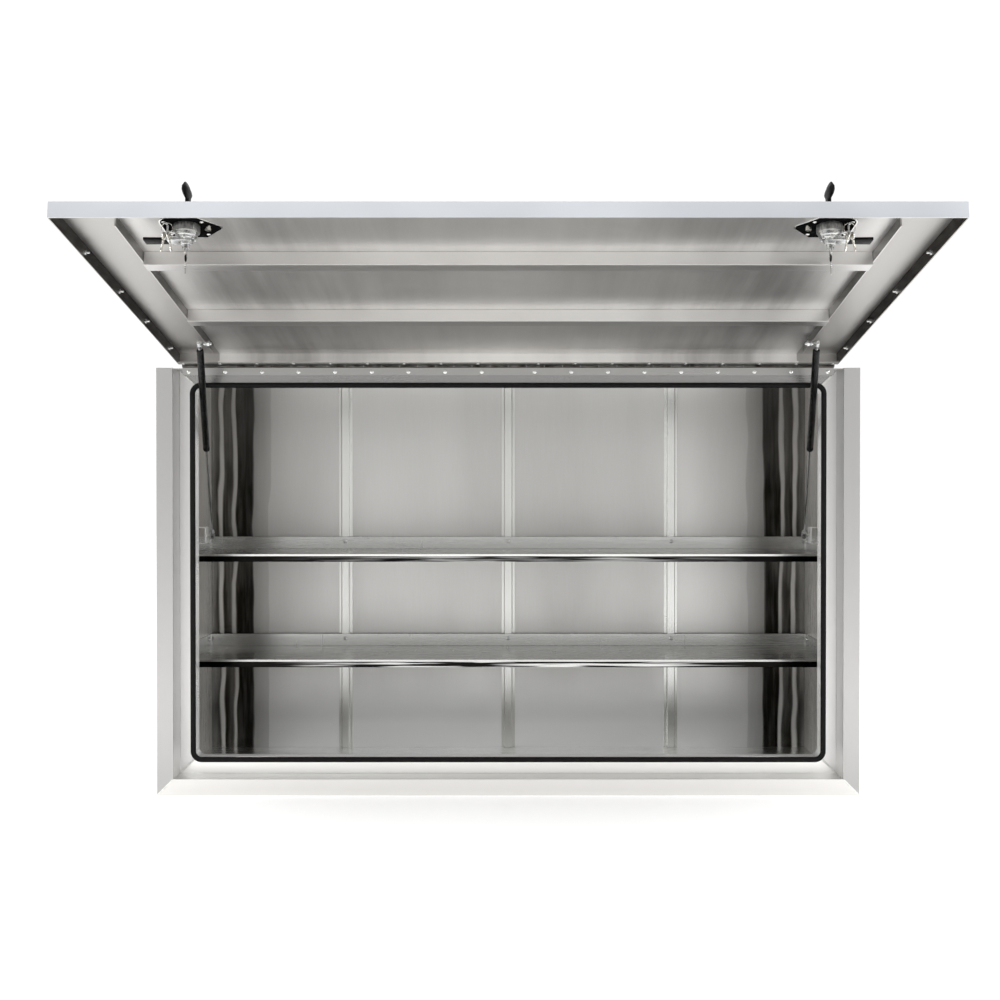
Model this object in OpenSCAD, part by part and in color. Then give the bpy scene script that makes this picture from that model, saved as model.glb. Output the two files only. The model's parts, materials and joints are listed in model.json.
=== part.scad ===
// Truck tool box with a lift-up door, two shelves and two gas struts.
// Front faces -Y, +X is to the right, +Z is up; the origin is the centre of the base.
// The door is drawn fully open, which is its rest position.

/* [Box] */
// Overall width of the box
body_w = 1500; // [1200:10:1800]
// Overall depth of the box
body_d = 550; // [450:10:700]
// Overall height of the box
body_h = 916; // [760:4:1100]
// Sheet thickness of the shell
sheet = 2.5; // [2:0.5:4]

/* [Front frame] */
// Width of the outer front flange
flange_w = 35; // [25:1:45]
// Depth from the front flange back to the landing
recess_d = 65; // [60:1:80]
// Distance from the outside of the box to the opening, at the sides and the bottom
opening_e = 76; // [70:1:95]
// Height of the header above the opening
header_h = 41; // [36:1:60]
// Depth from the front flange back to the header face
header_y = 40; // [38:1:45]
// Height of the lip round the opening, from the landing forwards
lip_h = 40; // [34:1:44]
// Corner radius of the opening lip
lip_r = 16; // [10:1:24]
// Diameter of the seal bulb
seal_d = 13; // [10:0.5:15]
// Clearance between the closed door skin and the seal
seal_gap = 0.6; // [0.4:0.1:2]

/* [Door] */
// Thickness of the door, skin to edge
door_t = 26; // [24:1:27]
// Gap round the closed door
door_gap = 5; // [4:0.5:8]
// Angle that the door opens to
open_angle = 100; // [80:1:110]
// Height of the stiffening webs, below the skin
web_h = 17.5; // [14:0.5:20]
// Distance of each web from the middle of the door
web_x = 620; // [460:5:640]
// Width of a cross member
cross_w = 32; // [24:1:40]
// Distance of the rear cross member's front face from the hinge
cross_rear_u = 326; // [280:2:360]
// Distance of the front cross member's front face from the hinge
cross_front_u = 658; // [520:2:670]

/* [Hinge] */
// Pin radius
pin_r = 1.5; // [1.2:0.1:2]
// Running clearance round the pin
pin_fit = 0.05; // [0.03:0.01:0.09]
// Knuckle radius
knuckle_r = 3.6; // [3.4:0.1:3.8]
// Leaf thickness
leaf_t = 1.2; // [1:0.1:1.4]
// Leaf width below the knuckle
leaf_w = 16; // [14:1:20]
// Length of one knuckle
knuckle_l = 38; // [30:1:60]
// Rivet pitch along the hinge
rivet_pitch = 79; // [60:1:90]
// Hinge rivet head radius
rivet_r = 4.4; // [3:0.1:4.6]

/* [Shelves] */
// Height of the upper shelf surface
shelf_upper_z = 504; // [440:2:540]
// Height of the lower shelf surface
shelf_lower_z = 260; // [200:2:300]
// Shelf depth
shelf_d = 285; // [200:5:300]
// Height of the upstand at the back and sides
shelf_up = 30; // [20:1:35]
// Depth of the front lip
shelf_lip = 18; // [12:1:24]
// Shelf sheet thickness
shelf_t = 1.6; // [1.2:0.2:2]

/* [Back stiffeners] */
// Distance of the outer stiffeners from the middle
stiff_x = 409; // [300:1:500]
// Width of a stiffener over its feet
stiff_w = 34; // [30:1:44]
// Depth of a stiffener
stiff_d = 12; // [8:1:16]

/* [Gas struts] */
// Distance of the ball stud on the door from the hinge
strut_u = 143; // [130:1:150]
// Height of the ball stud above the door's edge plane
strut_n = 6.5; // [5:0.5:9]
// Distance of the door ball from the outer face of the web
ball_off = 13; // [12:0.5:16]
// Depth of the lower ball behind the front flange
strut_y = 382; // [360:2:400]
// Height of the lower ball
strut_z = 543; // [520:1:560]
// Distance of the lower ball from the side wall
strut_in = 36; // [34:1:40]
// Radius of the pressure tube
tube_r = 7.5; // [7:0.5:8]
// Length of the pressure tube
tube_l = 314; // [270:2:330]
// Radius of the piston rod
rod_r = 3; // [2.5:0.5:4]
// Running clearance of the rod in its gland
rod_fit = 0.05; // [0.03:0.01:0.09]

/* [Locks] */
// Distance of each lock from the middle of the door
lock_x = 516; // [380:2:530]
// Distance of each lock from the hinge
lock_u = 788; // [620:2:790]
// Radius of the lock shaft
lock_shaft_r = 6; // [5:0.5:7]
// Length of the cam tongue, from the shaft
tongue_l = 67; // [60:1:72]
// Width of the cam tongue
tongue_w = 24; // [18:1:28]
// Height of the raised handle above the door skin
handle_h = 68; // [45:1:75]

/* [Hidden] */
$fn = 48;
hw = body_w / 2;
y0 = -body_d / 2;
roof_z = body_h - sheet;
open_z = body_h - header_h;
open_x = hw - opening_e;
land_y = recess_d;
lip_y = recess_d - lip_h;
weld_w = 2.4;
weld_h = 0.8;

// Hinge and door planes, as depths behind the front flange with the door shut
axis_y = header_y - knuckle_r;
axis_rise = 4;
axis_z = body_h + axis_rise;
edge_off = 2.4;
edge_y = axis_y - edge_off;
skin_in = door_t - sheet;
door_hw = hw - flange_w - door_gap;
door_l = axis_z - flange_w - door_gap + 1;
hinge_edge_u = 3;
return_w = 20;
web_start_u = 78;
web_seal_gap = 10;
web_end_u = axis_z - opening_e - seal_d / 2 - web_seal_gap;
screw_us = [103, 297, 485, 695];
screw_n = 9;
side_screw_l = 9;
side_screw_r = 2;
side_nut_l = 3.2;
side_nut_r = 4.5;

// Seal
bulb_y = edge_y - skin_in + seal_gap + seal_d / 2;
seal_wall = 2;
seal_grip = 16;

// Hinge details
knuckle_gap = 0.4;
pin_end = 1;
leaf_top = 1;
rivet_h = 1.4;
rivet_u = 13;
body_rivet_x = 57;
door_rivet_x = 65;
leaf_end = 8;
leaf_hw = door_hw - leaf_end;
leaf_body_n = floor((leaf_hw - rivet_r - body_rivet_x) / rivet_pitch);
leaf_door_n = floor((leaf_hw - rivet_r - door_rivet_x) / rivet_pitch);

// Inside the box
stiff_t = 2;
shelf_back_y = body_d - sheet - stiff_d;
shelf_hem = 10;
shelf_side_in = 6;
shelf_notch_gap = 2;
screw_r = 4.7;
screw_h = 2.3;
shelf_screw_in = 24;
shelf_screw_z = shelf_up * 0.6;
bracket_leg = strut_in - 12;
bracket_h = 39;
bracket_y = 34;
bracket_t = 2;
notch_y = bracket_y / 2 + shelf_notch_gap;
notch_z = bracket_h / 2 + shelf_notch_gap;
washer_r = 5.5;
washer_t = 1.6;
stud_nut_r = 6.5;
stud_nut_t = 5;
stud_end = 4;

// Struts
ball_r = 4;
ball_fit = 0.4;
shank_r = 2.2;
socket_r = 6.5;
foot_reach = 14;
head_reach = 16;
shank_gap = 1.2;
stud_r = 3;
tube_wall = 1;
piston_gap = 0.4;
gland_l = 12;
rod_in = 40;
piston_l = 8;
tube_end_t = 4;
head_neck_r = 4;

// Locks
lock_out = 42;
lock_in = 53;
lock_shoulder = 22;
lock_corner = 24;
lock_half = 44;
lock_mid = 12;
lock_nose = 5;
lock_rivet_r = 3.5;
lock_rivet_h = 1.6;
lock_rivet_xs = [-27, 34];
lock_rivet_u = 28;
plate_t = 2;
cup_r = 21;
cup_fit = 0.5;
cup_wall = 3;
cup_floor_n = 8;
cup_floor_t = 3;
shaft_fit = 0.05;
head_r = 14;
head_n = cup_floor_n + cup_floor_t + 0.5;
shaft_end_n = -18;
hub_r = 18;
hub_gap = 0.5;
hub_nut_r = 9;
hub_nut_t = 5;
cross_hole_r = 1.5;
cross_hole_in = 3;
tongue_n = -2;
tongue_t = 4;
slot_in = 16;
slot_w = 88;
slot_clear = 2;
slot_y = edge_y - tongue_n - slot_clear;
slot_t = tongue_t + 2 * slot_clear;
handle_pin_n = door_t + 9;
handle_pin_r = 2.5;
clevis_in = 6;
clevis_t = 4;
clevis_w = 10;
clevis_gap = 0.3;
handle_w = 8;
grip_r = 6;
grip_l = 66;
key_off = 34;
key_r = 5;
key_hole_gap = 1;
barrel_in = 8;
keyway_w = 1.6;
keyway_l = 7;
key_head_r = 8;
key_blade = 18;
key_t = 2;
blade_w = 4;
blade_t = 1.6;
key_eye_in = 3.2;
key_eye_r = 1.8;
ring_r = 9;
ring_wire = 0.8;
ring_x = 26;
ring_n = 8;
ring_u = 24;
ring_fan = 14;
ring_key_z = 2.4;
hook_r = 1;
hook_fit = 0.3;
hook_n = ring_n + ring_r - ring_wire - hook_fit - hook_r;
hook_half = 3.5;
hook_ear = 1.5;
hook_off = 5;
hook_w = 3;
hook_arm_n = 3;
wire_l = 12;
wire_x = lock_shaft_r + 1.4;
cross_pin_r = 1.1;

// Points of the front frame's section: distance in from the outside, then depth from the front
frame_section = [[0, 0], [flange_w, 0], [flange_w, land_y], [opening_e - sheet, land_y],
    [opening_e - sheet, land_y + sheet], [flange_w - sheet, land_y + sheet],
    [flange_w - sheet, sheet], [0, sheet]];

// Ball centres of the right-hand strut, in the front frame
door_ball_y = axis_y - (strut_n + edge_off) * cos(open_angle) - strut_u * sin(open_angle);
door_ball_z = axis_z + (strut_n + edge_off) * sin(open_angle) - strut_u * cos(open_angle);
door_ball_x = web_x + sheet / 2 + ball_off;
strut_from = [hw - sheet - strut_in, strut_y, strut_z];
strut_to = [door_ball_x, door_ball_y, door_ball_z];
strut_v = strut_to - strut_from;
strut_len = norm(strut_v);
tube_top = strut_len - head_reach;
tube_bottom = tube_top - tube_l;

// Places children in the front frame: x across, y back from the front flange, z up
module front() { translate([0, y0, 0]) children(); }

// Places children on the open door: y is minus the height above the door's edge plane,
// and z is minus the distance from the hinge
module on_door() {
    translate([0, y0 + axis_y, axis_z])
        rotate([-open_angle, 0, 0])
            translate([0, -edge_off, 0])
                children();
}

// Keeps children as they are on the right and mirrors them to the left
module on_side(side) { mirror([side < 0 ? 1 : 0, 0, 0]) children(); }

// A box between two corners
module span(a, b) { translate(a) cube(b - a); }

// A box on the door: x, height n above the edge plane, distance u from the hinge
module door_span(x0, x1, n0, n1, u0, u1) { span([x0, -n1, -u1], [x1, -n0, -u0]); }

// A round bar along X, between two x
module bar_x(r, x0, x1) { translate([x0, 0, 0]) rotate([0, 90, 0]) cylinder(r = r, h = x1 - x0); }

// A round bar square to the door, between two heights
module bar_n(r, n0, n1) { translate([0, -n0, 0]) rotate([90, 0, 0]) cylinder(r = r, h = n1 - n0); }

// Extrudes a shape drawn in x and z between two depths
module upright(y_front, y_back) {
    translate([0, y_back, 0])
        rotate([90, 0, 0])
            linear_extrude(y_back - y_front)
                children();
}

// A low button head standing on z = 0
module button_head(r, h) {
    rotate_extrude()
        polygon([[0, 0], [r, 0], [r, h * 0.4], [r * 0.7, h * 0.85], [0, h]]);
}

// Rounded rectangle from -x to x and from z0 to z1
module rounded(x, z0, z1, r) {
    for (sx = [-1, 1])
        for (z = [z0 + r, z1 - r])
            translate([sx * (x - r), z])
                circle(r = r);
    translate([-x, z0 + r])
        square([2 * x, z1 - z0 - 2 * r]);
    translate([-x + r, z0])
        square([2 * x - 2 * r, z1 - z0]);
}

// The opening's outline, grown outwards
module opening_shape(grow) {
    rounded(open_x + grow, opening_e - grow, open_z + grow, lip_r + grow);
}

// ---------- shell ----------
module side_panel(side) {
    color("silver")
        front()
            on_side(side)
                span([hw - sheet, sheet, 0], [hw, body_d, roof_z]);
}

module back_panel() {
    color("silver")
        front()
            span([-hw + sheet, body_d - sheet, 0], [hw - sheet, body_d, roof_z]);
}

module roof_panel() {
    color("silver")
        front()
            span([-hw, header_y, roof_z], [hw, body_d, body_h]);
}

module floor_panel() {
    color("silver")
        front()
            span([-hw + sheet, sheet, 0], [hw - sheet, body_d - sheet, sheet]);
}

// ---------- front frame ----------
module front_frame_side(side) {
    color("gainsboro")
        front()
            on_side(side)
                intersection() {
                    linear_extrude(roof_z)
                        polygon([for (p = frame_section) [hw - p[0], p[1]]]);
                    upright(-1, recess_d + 2 * sheet)
                        polygon([[hw, 0], [hw, roof_z], [hw - opening_e, roof_z],
                            [hw - opening_e, opening_e]]);
                }
}

module front_frame_bottom() {
    color("gainsboro")
        front()
            intersection() {
                rotate([90, 0, 90])
                    translate([0, 0, -hw])
                        linear_extrude(body_w)
                            polygon([for (p = frame_section) [p[1], p[0]]]);
                upright(-1, recess_d + 2 * sheet)
                    polygon([[-hw, 0], [hw, 0], [hw - opening_e, opening_e], [-hw + opening_e, opening_e]]);
            }
}

// The header face has mitred ends, a sloping end wall back to each landing and a flange under the roof
module header_face() {
    low = [open_x + sheet, open_z + sheet];
    rise = min(roof_z - low[1], hw - flange_w - low[0]);
    difference() {
        union() {
            polygon([[-low[0], low[1]], [low[0], low[1]], low + [rise, rise], [low[0] + rise, roof_z],
                [-low[0] - rise, roof_z], [-low[0] - rise, low[1] + rise]]);
            for (side = [-1, 1])
                translate([side * (low[0] - lip_r / 2) - lip_r / 2, low[1] - lip_r])
                    square(lip_r);
        }
        opening_shape(sheet);
    }
}

module header_end() {
    low = [open_x + sheet, open_z + sheet];
    rise = min(roof_z - low[1], hw - flange_w - low[0]);
    wall = sheet * sqrt(2);
    polygon([low, low + [rise, rise], low + [rise - wall, rise], low - [wall, 0]]);
}

module front_header() {
    color("gainsboro")
        front() {
            upright(header_y, header_y + sheet)
                header_face();
            for (side = [-1, 1])
                on_side(side)
                    upright(header_y + sheet, land_y)
                        header_end();
            span([-open_x, header_y + sheet, roof_z - sheet], [open_x, land_y, roof_z]);
        }
}

module opening_lip() {
    color("whitesmoke")
        front()
            difference() {
                union() {
                    upright(lip_y, land_y + sheet)
                        difference() {
                            opening_shape(sheet);
                            opening_shape(0);
                        }
                    upright(land_y, land_y + sheet)
                        difference() {
                            translate([-open_x - sheet, opening_e - sheet])
                                square([2 * (open_x + sheet), open_z - opening_e + 2 * sheet]);
                            opening_shape(sheet);
                        }
                }
                for (side = [-1, 1])
                    on_side(side)
                        translate([lock_x - slot_in, slot_y, opening_e - 2 * sheet])
                            cube([slot_w, slot_t, 3 * sheet]);
            }
}

// A flat-bottomed bead on a plane that faces the front, from p to q in x and z
module bead(p, q, y, w) {
    run = q - p;
    translate([p[0], y, p[1]])
        rotate([0, -atan2(run[1], run[0]), 0])
            intersection() {
                translate([0, w - weld_h, 0])
                    bar_x(w, 0, norm(run));
                span([0, -weld_h, -w], [norm(run), 0, w]);
            }
}

module corner_welds() {
    top = [open_x + sheet, open_z + sheet];
    rise = axis_z - leaf_w - knuckle_r - top[1] - 2.6 * weld_w;
    color("white")
        front()
            for (side = [-1, 1])
                on_side(side) {
                    bead([hw - weld_w, weld_w], [hw - flange_w + 1, flange_w - 1], 0, weld_w);
                    bead([hw - flange_w - weld_w, flange_w + weld_w],
                        [open_x + sheet + weld_w, opening_e - sheet - weld_w], land_y, weld_w);
                    bead(top + [0, weld_w * 2], top + [rise, rise + weld_w], header_y, weld_w * 1.6);
                }
}

// Section of the seal: a bulb and a channel that grips the lip
module seal_section() {
    difference() {
        union() {
            translate([0, bulb_y])
                circle(d = seal_d);
            translate([-sheet / 2 - seal_wall, bulb_y])
                square([sheet + 2 * seal_wall, seal_grip]);
        }
        translate([-sheet / 2, lip_y])
            square([sheet, body_d]);
    }
}

module door_seal() {
    mid_x = open_x + sheet / 2;
    mid_r = lip_r + sheet / 2;
    low = opening_e - sheet / 2;
    high = open_z + sheet / 2;
    color("dimgray")
        front() {
            for (side = [-1, 1])
                on_side(side) {
                    translate([mid_x, 0, low + mid_r])
                        linear_extrude(high - low - 2 * mid_r)
                            seal_section();
                    for (end = [[high - mid_r, 0], [low + mid_r, 90]])
                        translate([mid_x - mid_r, 0, end[0]])
                            rotate([0, end[1], 0])
                                rotate([90, 0, 0])
                                    rotate_extrude(angle = 90)
                                        seal_turn(mid_r);
                }
            for (z = [low, high])
                translate([-mid_x + mid_r, 0, z])
                    rotate([0, 90, 0])
                        linear_extrude(2 * (mid_x - mid_r))
                            seal_section();
        }
}

// The seal's section placed for a corner, with depth along -y of the turned frame
module seal_turn(r) {
    translate([r, 0])
        mirror([0, 1])
            seal_section();
}

// ---------- hinge ----------
// Knuckles along the hinge: the body takes the even ones and the door the odd ones
module knuckles(first) {
    count = floor(2 * leaf_hw / knuckle_l);
    step = 2 * leaf_hw / count;
    for (i = [first:2:count - 1])
        difference() {
            bar_x(knuckle_r, -leaf_hw + i * step + knuckle_gap, -leaf_hw + (i + 1) * step - knuckle_gap);
            bar_x(pin_r + pin_fit, -hw, hw);
        }
}

// Spaces between one leaf's own knuckles, where the other leaf's knuckles turn
module knuckle_spaces(first) {
    count = floor(2 * leaf_hw / knuckle_l);
    step = 2 * leaf_hw / count;
    for (i = [first:2:count - 1])
        bar_x(knuckle_r + knuckle_gap, -leaf_hw + i * step - knuckle_gap / 2,
            -leaf_hw + (i + 1) * step + knuckle_gap / 2);
}

module hinge_leaf_body() {
    color("lightgray")
        front()
            translate([0, axis_y, axis_z]) {
                knuckles(0);
                difference() {
                    span([-leaf_hw, knuckle_r - leaf_t, -leaf_w - knuckle_r], [leaf_hw, knuckle_r, -leaf_top]);
                    knuckle_spaces(1);
                    bar_x(pin_r + pin_fit, -hw, hw);
                }
            }
}

module hinge_pin() {
    color("lightgray")
        front()
            translate([0, axis_y, axis_z])
                bar_x(pin_r, -leaf_hw - pin_end, leaf_hw + pin_end);
}

module body_hinge_rivets() {
    color("white")
        front()
            for (side = [-1, 1])
                for (i = [0:leaf_body_n])
                    translate([side * (body_rivet_x + i * rivet_pitch), header_y - leaf_t, axis_z - rivet_u])
                        rotate([90, 0, 0])
                            button_head(rivet_r, rivet_h);
}

module hinge_leaf_door() {
    color("lightgray")
        on_door()
            translate([0, edge_off, 0]) {
                knuckles(1);
                difference() {
                    span([-leaf_hw, -edge_off, -leaf_w - knuckle_r], [leaf_hw, -edge_off + leaf_t, -leaf_top]);
                    knuckle_spaces(0);
                    bar_x(pin_r + pin_fit, -hw, hw);
                }
            }
}

module door_hinge_rivets() {
    color("white")
        on_door()
            for (side = [-1, 1])
                for (i = [0:leaf_door_n])
                    translate([side * (door_rivet_x + i * rivet_pitch), leaf_t, -rivet_u])
                        rotate([-90, 0, 0])
                            button_head(rivet_r, rivet_h);
}

// ---------- fittings inside the box ----------
module back_stiffener(x) {
    crown = stiff_w / 2;
    color("gainsboro")
        front()
            translate([x, body_d - sheet, sheet])
                linear_extrude(roof_z - sheet)
                    difference() {
                        polygon([[-stiff_w / 2, 0], [-stiff_w / 2, -stiff_t], [-crown / 2 - stiff_t, -stiff_t],
                            [-crown / 2, -stiff_d], [crown / 2, -stiff_d], [crown / 2 + stiff_t, -stiff_t],
                            [stiff_w / 2, -stiff_t], [stiff_w / 2, 0]]);
                        polygon([[-crown / 2, 1], [-crown / 2 + stiff_t, -stiff_d + stiff_t],
                            [crown / 2 - stiff_t, -stiff_d + stiff_t], [crown / 2, 1]]);
                    }
}

// A folded shelf: floor, upstand at the back and sides, front lip with a hem
module shelf(z, notched) {
    x = hw - sheet;
    y = shelf_back_y - shelf_d;
    color("lightgray")
        front()
            difference() {
                union() {
                    span([-x, y, z - shelf_t], [x, shelf_back_y, z]);
                    span([-x, shelf_back_y - shelf_t, z], [x, shelf_back_y, z + shelf_up]);
                    for (side = [-1, 1])
                        on_side(side)
                            span([x - shelf_t, y + shelf_side_in, z],
                                [x, shelf_back_y - shelf_t, z + shelf_up]);
                    span([-x, y, z - shelf_lip], [x, y + shelf_t, z - shelf_t]);
                    span([-x, y + shelf_t, z - shelf_lip], [x, y + shelf_hem, z - shelf_lip + shelf_t]);
                }
                if (notched)
                    for (side = [-1, 1])
                        on_side(side)
                            span([x - 2 * shelf_t, strut_y - notch_y, strut_z - notch_z],
                                [x + 1, strut_y + notch_y, body_h]);
            }
}

// Screws through the shelf upstands: into each stiffener and at both ends of each side
module shelf_screws() {
    side_y = [shelf_back_y - shelf_d + shelf_screw_in, shelf_back_y - shelf_screw_in];
    color("white")
        front()
            for (z = [shelf_upper_z, shelf_lower_z]) {
                for (x = [-stiff_x, 0, stiff_x])
                    translate([x, shelf_back_y - shelf_t, z + shelf_screw_z])
                        rotate([90, 0, 0])
                            button_head(screw_r, screw_h);
                for (side = [-1, 1])
                    for (y = side_y)
                        on_side(side)
                            translate([hw - sheet - shelf_t, y, z + shelf_screw_z])
                                rotate([0, -90, 0])
                                    button_head(screw_r, screw_h);
            }
}

// Hat-shaped bracket on the side wall, with the lower ball stud
module strut_bracket(side) {
    x = hw - sheet;
    color("lightgray")
        front()
            on_side(side) {
                difference() {
                    span([x - bracket_leg, strut_y - bracket_y / 2, strut_z - bracket_h / 2],
                        [x, strut_y + bracket_y / 2, strut_z + bracket_h / 2]);
                    span([x - bracket_leg + bracket_t, strut_y - bracket_y,
                        strut_z - bracket_h / 2 + bracket_t],
                        [x + 1, strut_y + bracket_y, strut_z + bracket_h / 2 - bracket_t]);
                }
                translate([0, strut_y, strut_z]) {
                    bar_x(shank_r, strut_from[0] + 3, x - bracket_leg);
                    bar_x(washer_r, x - bracket_leg - washer_t, x - bracket_leg);
                    translate([strut_from[0], 0, 0])
                        rotate([0, 90, 0])
                            sphere(r = ball_r);
                }
            }
}

// ---------- door ----------
// Door tray: skin, four folded edges, and a flange inwards along the hinge
module door_skin() {
    color("gainsboro")
        on_door()
            difference() {
                union() {
                    door_span(-door_hw, door_hw, skin_in, door_t, hinge_edge_u, door_l);
                    door_span(-door_hw, door_hw, 0, skin_in, door_l - sheet, door_l);
                    door_span(-door_hw, door_hw, 0, skin_in, hinge_edge_u, hinge_edge_u + sheet);
                    door_span(-door_hw + sheet, door_hw - sheet, 0, sheet,
                        hinge_edge_u + sheet, hinge_edge_u + return_w);
                    for (side = [-1, 1])
                        on_side(side)
                            door_span(door_hw - sheet, door_hw, 0, skin_in,
                                hinge_edge_u + sheet, door_l - sheet);
                }
                for (side = [-1, 1])
                    translate([side * lock_x, 0, -lock_u])
                        bar_n(cup_r, -1, door_t + 1);
                for (side = [-1, 1])
                    translate([side * (lock_x - key_off), 0, -lock_u])
                        bar_n(key_r + key_hole_gap, -1, door_t + 1);
            }
}

module door_web(side) {
    color("lightgray")
        on_door()
            on_side(side)
                difference() {
                    door_span(web_x - sheet / 2, web_x + sheet / 2, skin_in - web_h, skin_in,
                        web_start_u, web_end_u);
                    translate([0, -strut_n, -strut_u])
                        bar_x(stud_r, web_x - sheet, web_x + sheet);
                }
}

// Cross member: a channel with its crown on the edge plane and feet on the skin
module door_cross(front_u) {
    x = web_x - sheet / 2;
    color("lightgray")
        on_door() {
            door_span(-x, x, 0, shelf_t, front_u - cross_w, front_u);
            for (u = [front_u - cross_w, front_u - shelf_t])
                door_span(-x, x, shelf_t, skin_in, u, u + shelf_t);
        }
}

// Screws that hold the weather strip of the side edges, with their tips inside
module door_side_screws() {
    color("white")
        on_door()
            for (side = [-1, 1])
                on_side(side)
                    for (u = screw_us) {
                        translate([0, -screw_n, -u])
                            bar_x(side_screw_r, door_hw - sheet - side_screw_l, door_hw - sheet);
                        translate([0, -screw_n, -u])
                            bar_x(side_nut_r, door_hw - sheet - side_nut_l, door_hw - sheet);
                    }
}

// Ball stud on the web: washer, shank and nut
module door_stud(side) {
    face = web_x + sheet / 2;
    back = web_x - sheet / 2;
    color("white")
        on_door()
            on_side(side)
                translate([0, -strut_n, -strut_u]) {
                    bar_x(stud_r, back, door_ball_x - socket_r - shank_gap);
                    bar_x(washer_r, face, face + washer_t);
                    translate([back - stud_nut_t, 0, 0])
                        rotate([0, 90, 0])
                            cylinder(r = stud_nut_r, h = stud_nut_t, $fn = 6);
                    bar_x(stud_r, back - stud_nut_t - stud_end, back - stud_nut_t);
                }
}

// ---------- gas struts ----------
// Places children with z = 0 at the lower ball and +z towards the door ball
module along_strut(side) {
    front()
        on_side(side)
            translate(strut_from)
                rotate([0, acos(strut_v[2] / strut_len), atan2(strut_v[1], strut_v[0])])
                    children();
}

module strut_foot(side) {
    color("lightgray")
        front()
            on_side(side)
                difference() {
                    translate(strut_from)
                        rotate([0, acos(strut_v[2] / strut_len), atan2(strut_v[1], strut_v[0])])
                            translate([0, 0, -socket_r])
                                cylinder(r = socket_r, h = socket_r + foot_reach);
                    translate([0, strut_y, strut_z])
                        bar_x(ball_r + ball_fit, strut_from[0] - ball_r - ball_fit, hw);
                }
}

// Rod and piston, from the foot into the tube
module strut_rod(side) {
    color("white")
        along_strut(side) {
            translate([0, 0, foot_reach])
                cylinder(r = rod_r, h = tube_bottom + rod_in - foot_reach);
            translate([0, 0, tube_bottom + rod_in])
                cylinder(r = tube_r - tube_wall - piston_gap, h = piston_l);
        }
}

module strut_tube(side) {
    color("dimgray")
        along_strut(side)
            difference() {
                translate([0, 0, tube_bottom])
                    cylinder(r = tube_r, h = tube_l);
                translate([0, 0, tube_bottom + gland_l])
                    cylinder(r = tube_r - tube_wall, h = tube_l - gland_l - tube_end_t);
                translate([0, 0, tube_bottom - 1])
                    cylinder(r = rod_r + rod_fit, h = gland_l + 2);
            }
}

module strut_head(side) {
    color("white")
        along_strut(side) {
            translate([0, 0, tube_top])
                cylinder(r = head_neck_r, h = head_reach - socket_r);
            translate([0, 0, strut_len - socket_r])
                cylinder(r = socket_r, h = 2 * socket_r);
        }
}

// ---------- locks ----------
// Places children at a lock's shaft, with x outwards from the middle of the door
module at_lock(side) {
    on_door()
        on_side(side)
            translate([lock_x, 0, -lock_u])
                children();
}

// Outer plate and the cup that passes through the skin
module lock_dish(side) {
    color("dimgray")
        at_lock(side)
            difference() {
                union() {
                    translate([0, -door_t, 0])
                        rotate([90, 0, 0])
                            linear_extrude(plate_t)
                                lock_outline();
                    bar_n(cup_r - cup_fit, cup_floor_n, door_t);
                }
                bar_n(cup_r - cup_wall, cup_floor_n + cup_floor_t, door_t + plate_t + 1);
                bar_n(lock_shaft_r + shaft_fit, cup_floor_n - 1, door_t);
                translate([-key_off, 0, 0])
                    bar_n(key_r + shaft_fit, 0, door_t + plate_t + 1);
            }
}

// Outline of the lock plates: rounded at the outer end and pointed towards the middle
module lock_outline() {
    round_x = lock_out - lock_corner;
    translate([0, lock_mid]) {
        for (z = [-1, 1])
            translate([round_x, z * (lock_half - lock_corner)])
                circle(r = lock_corner);
        translate([-lock_shoulder, -lock_half])
            square([round_x + lock_shoulder, 2 * lock_half]);
        translate([0, -lock_half + lock_corner])
            square([lock_out, 2 * (lock_half - lock_corner)]);
        polygon([[-lock_shoulder, lock_half], [-lock_in, lock_nose], [-lock_in, -lock_nose],
            [-lock_shoulder, -lock_half]]);
    }
}

module lock_backplate(side) {
    color("dimgray")
        at_lock(side)
            difference() {
                translate([0, -skin_in + plate_t, 0])
                    rotate([90, 0, 0])
                        linear_extrude(plate_t)
                            lock_outline();
                bar_n(cup_r, 0, door_t);
                translate([-key_off, 0, 0])
                    bar_n(key_r + key_hole_gap, 0, door_t);
            }
}

// Rivets that clamp each lock's two plates to the skin
module lock_rivets() {
    color("white")
        for (side = [-1, 1])
            at_lock(side)
                for (x = lock_rivet_xs)
                    for (u = [-1, 1])
                        translate([x, -skin_in + plate_t, lock_mid + u * lock_rivet_u])
                            rotate([-90, 0, 0])
                                button_head(lock_rivet_r, lock_rivet_h);
}

// Shaft with the clevis that carries the handle
module lock_shaft(side) {
    color("lightgray")
        at_lock(side)
            difference() {
                union() {
                    bar_n(lock_shaft_r, shaft_end_n, head_n);
                    bar_n(head_r, head_n, door_t + plate_t);
                    for (u = [-1, 1])
                        translate([-clevis_w / 2, -handle_pin_n - clevis_w / 2,
                            u * (clevis_in + clevis_t / 2) - clevis_t / 2])
                            cube([clevis_w, handle_pin_n + clevis_w / 2 - door_t, clevis_t]);
                }
                translate([0, -handle_pin_n, -2 * head_r])
                    cylinder(r = handle_pin_r + pin_fit, h = 4 * head_r);
                translate([0, -shaft_end_n - cross_hole_in, -2 * head_r])
                    cylinder(r = cross_hole_r, h = 4 * head_r);
            }
}

// Hub and tongue that turn behind the latch slot
module lock_tongue(side) {
    color("dimgray")
        at_lock(side)
            difference() {
                union() {
                    bar_n(hub_r, tongue_n - tongue_t, cup_floor_n - hub_gap);
                    door_span(0, tongue_l, tongue_n - tongue_t, tongue_n, -tongue_w / 2, tongue_w / 2);
                    bar_n(hub_nut_r, tongue_n - tongue_t - hub_nut_t, tongue_n - tongue_t);
                    key_hook();
                }
                bar_n(lock_shaft_r, -door_t, door_t);
            }
}

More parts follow.
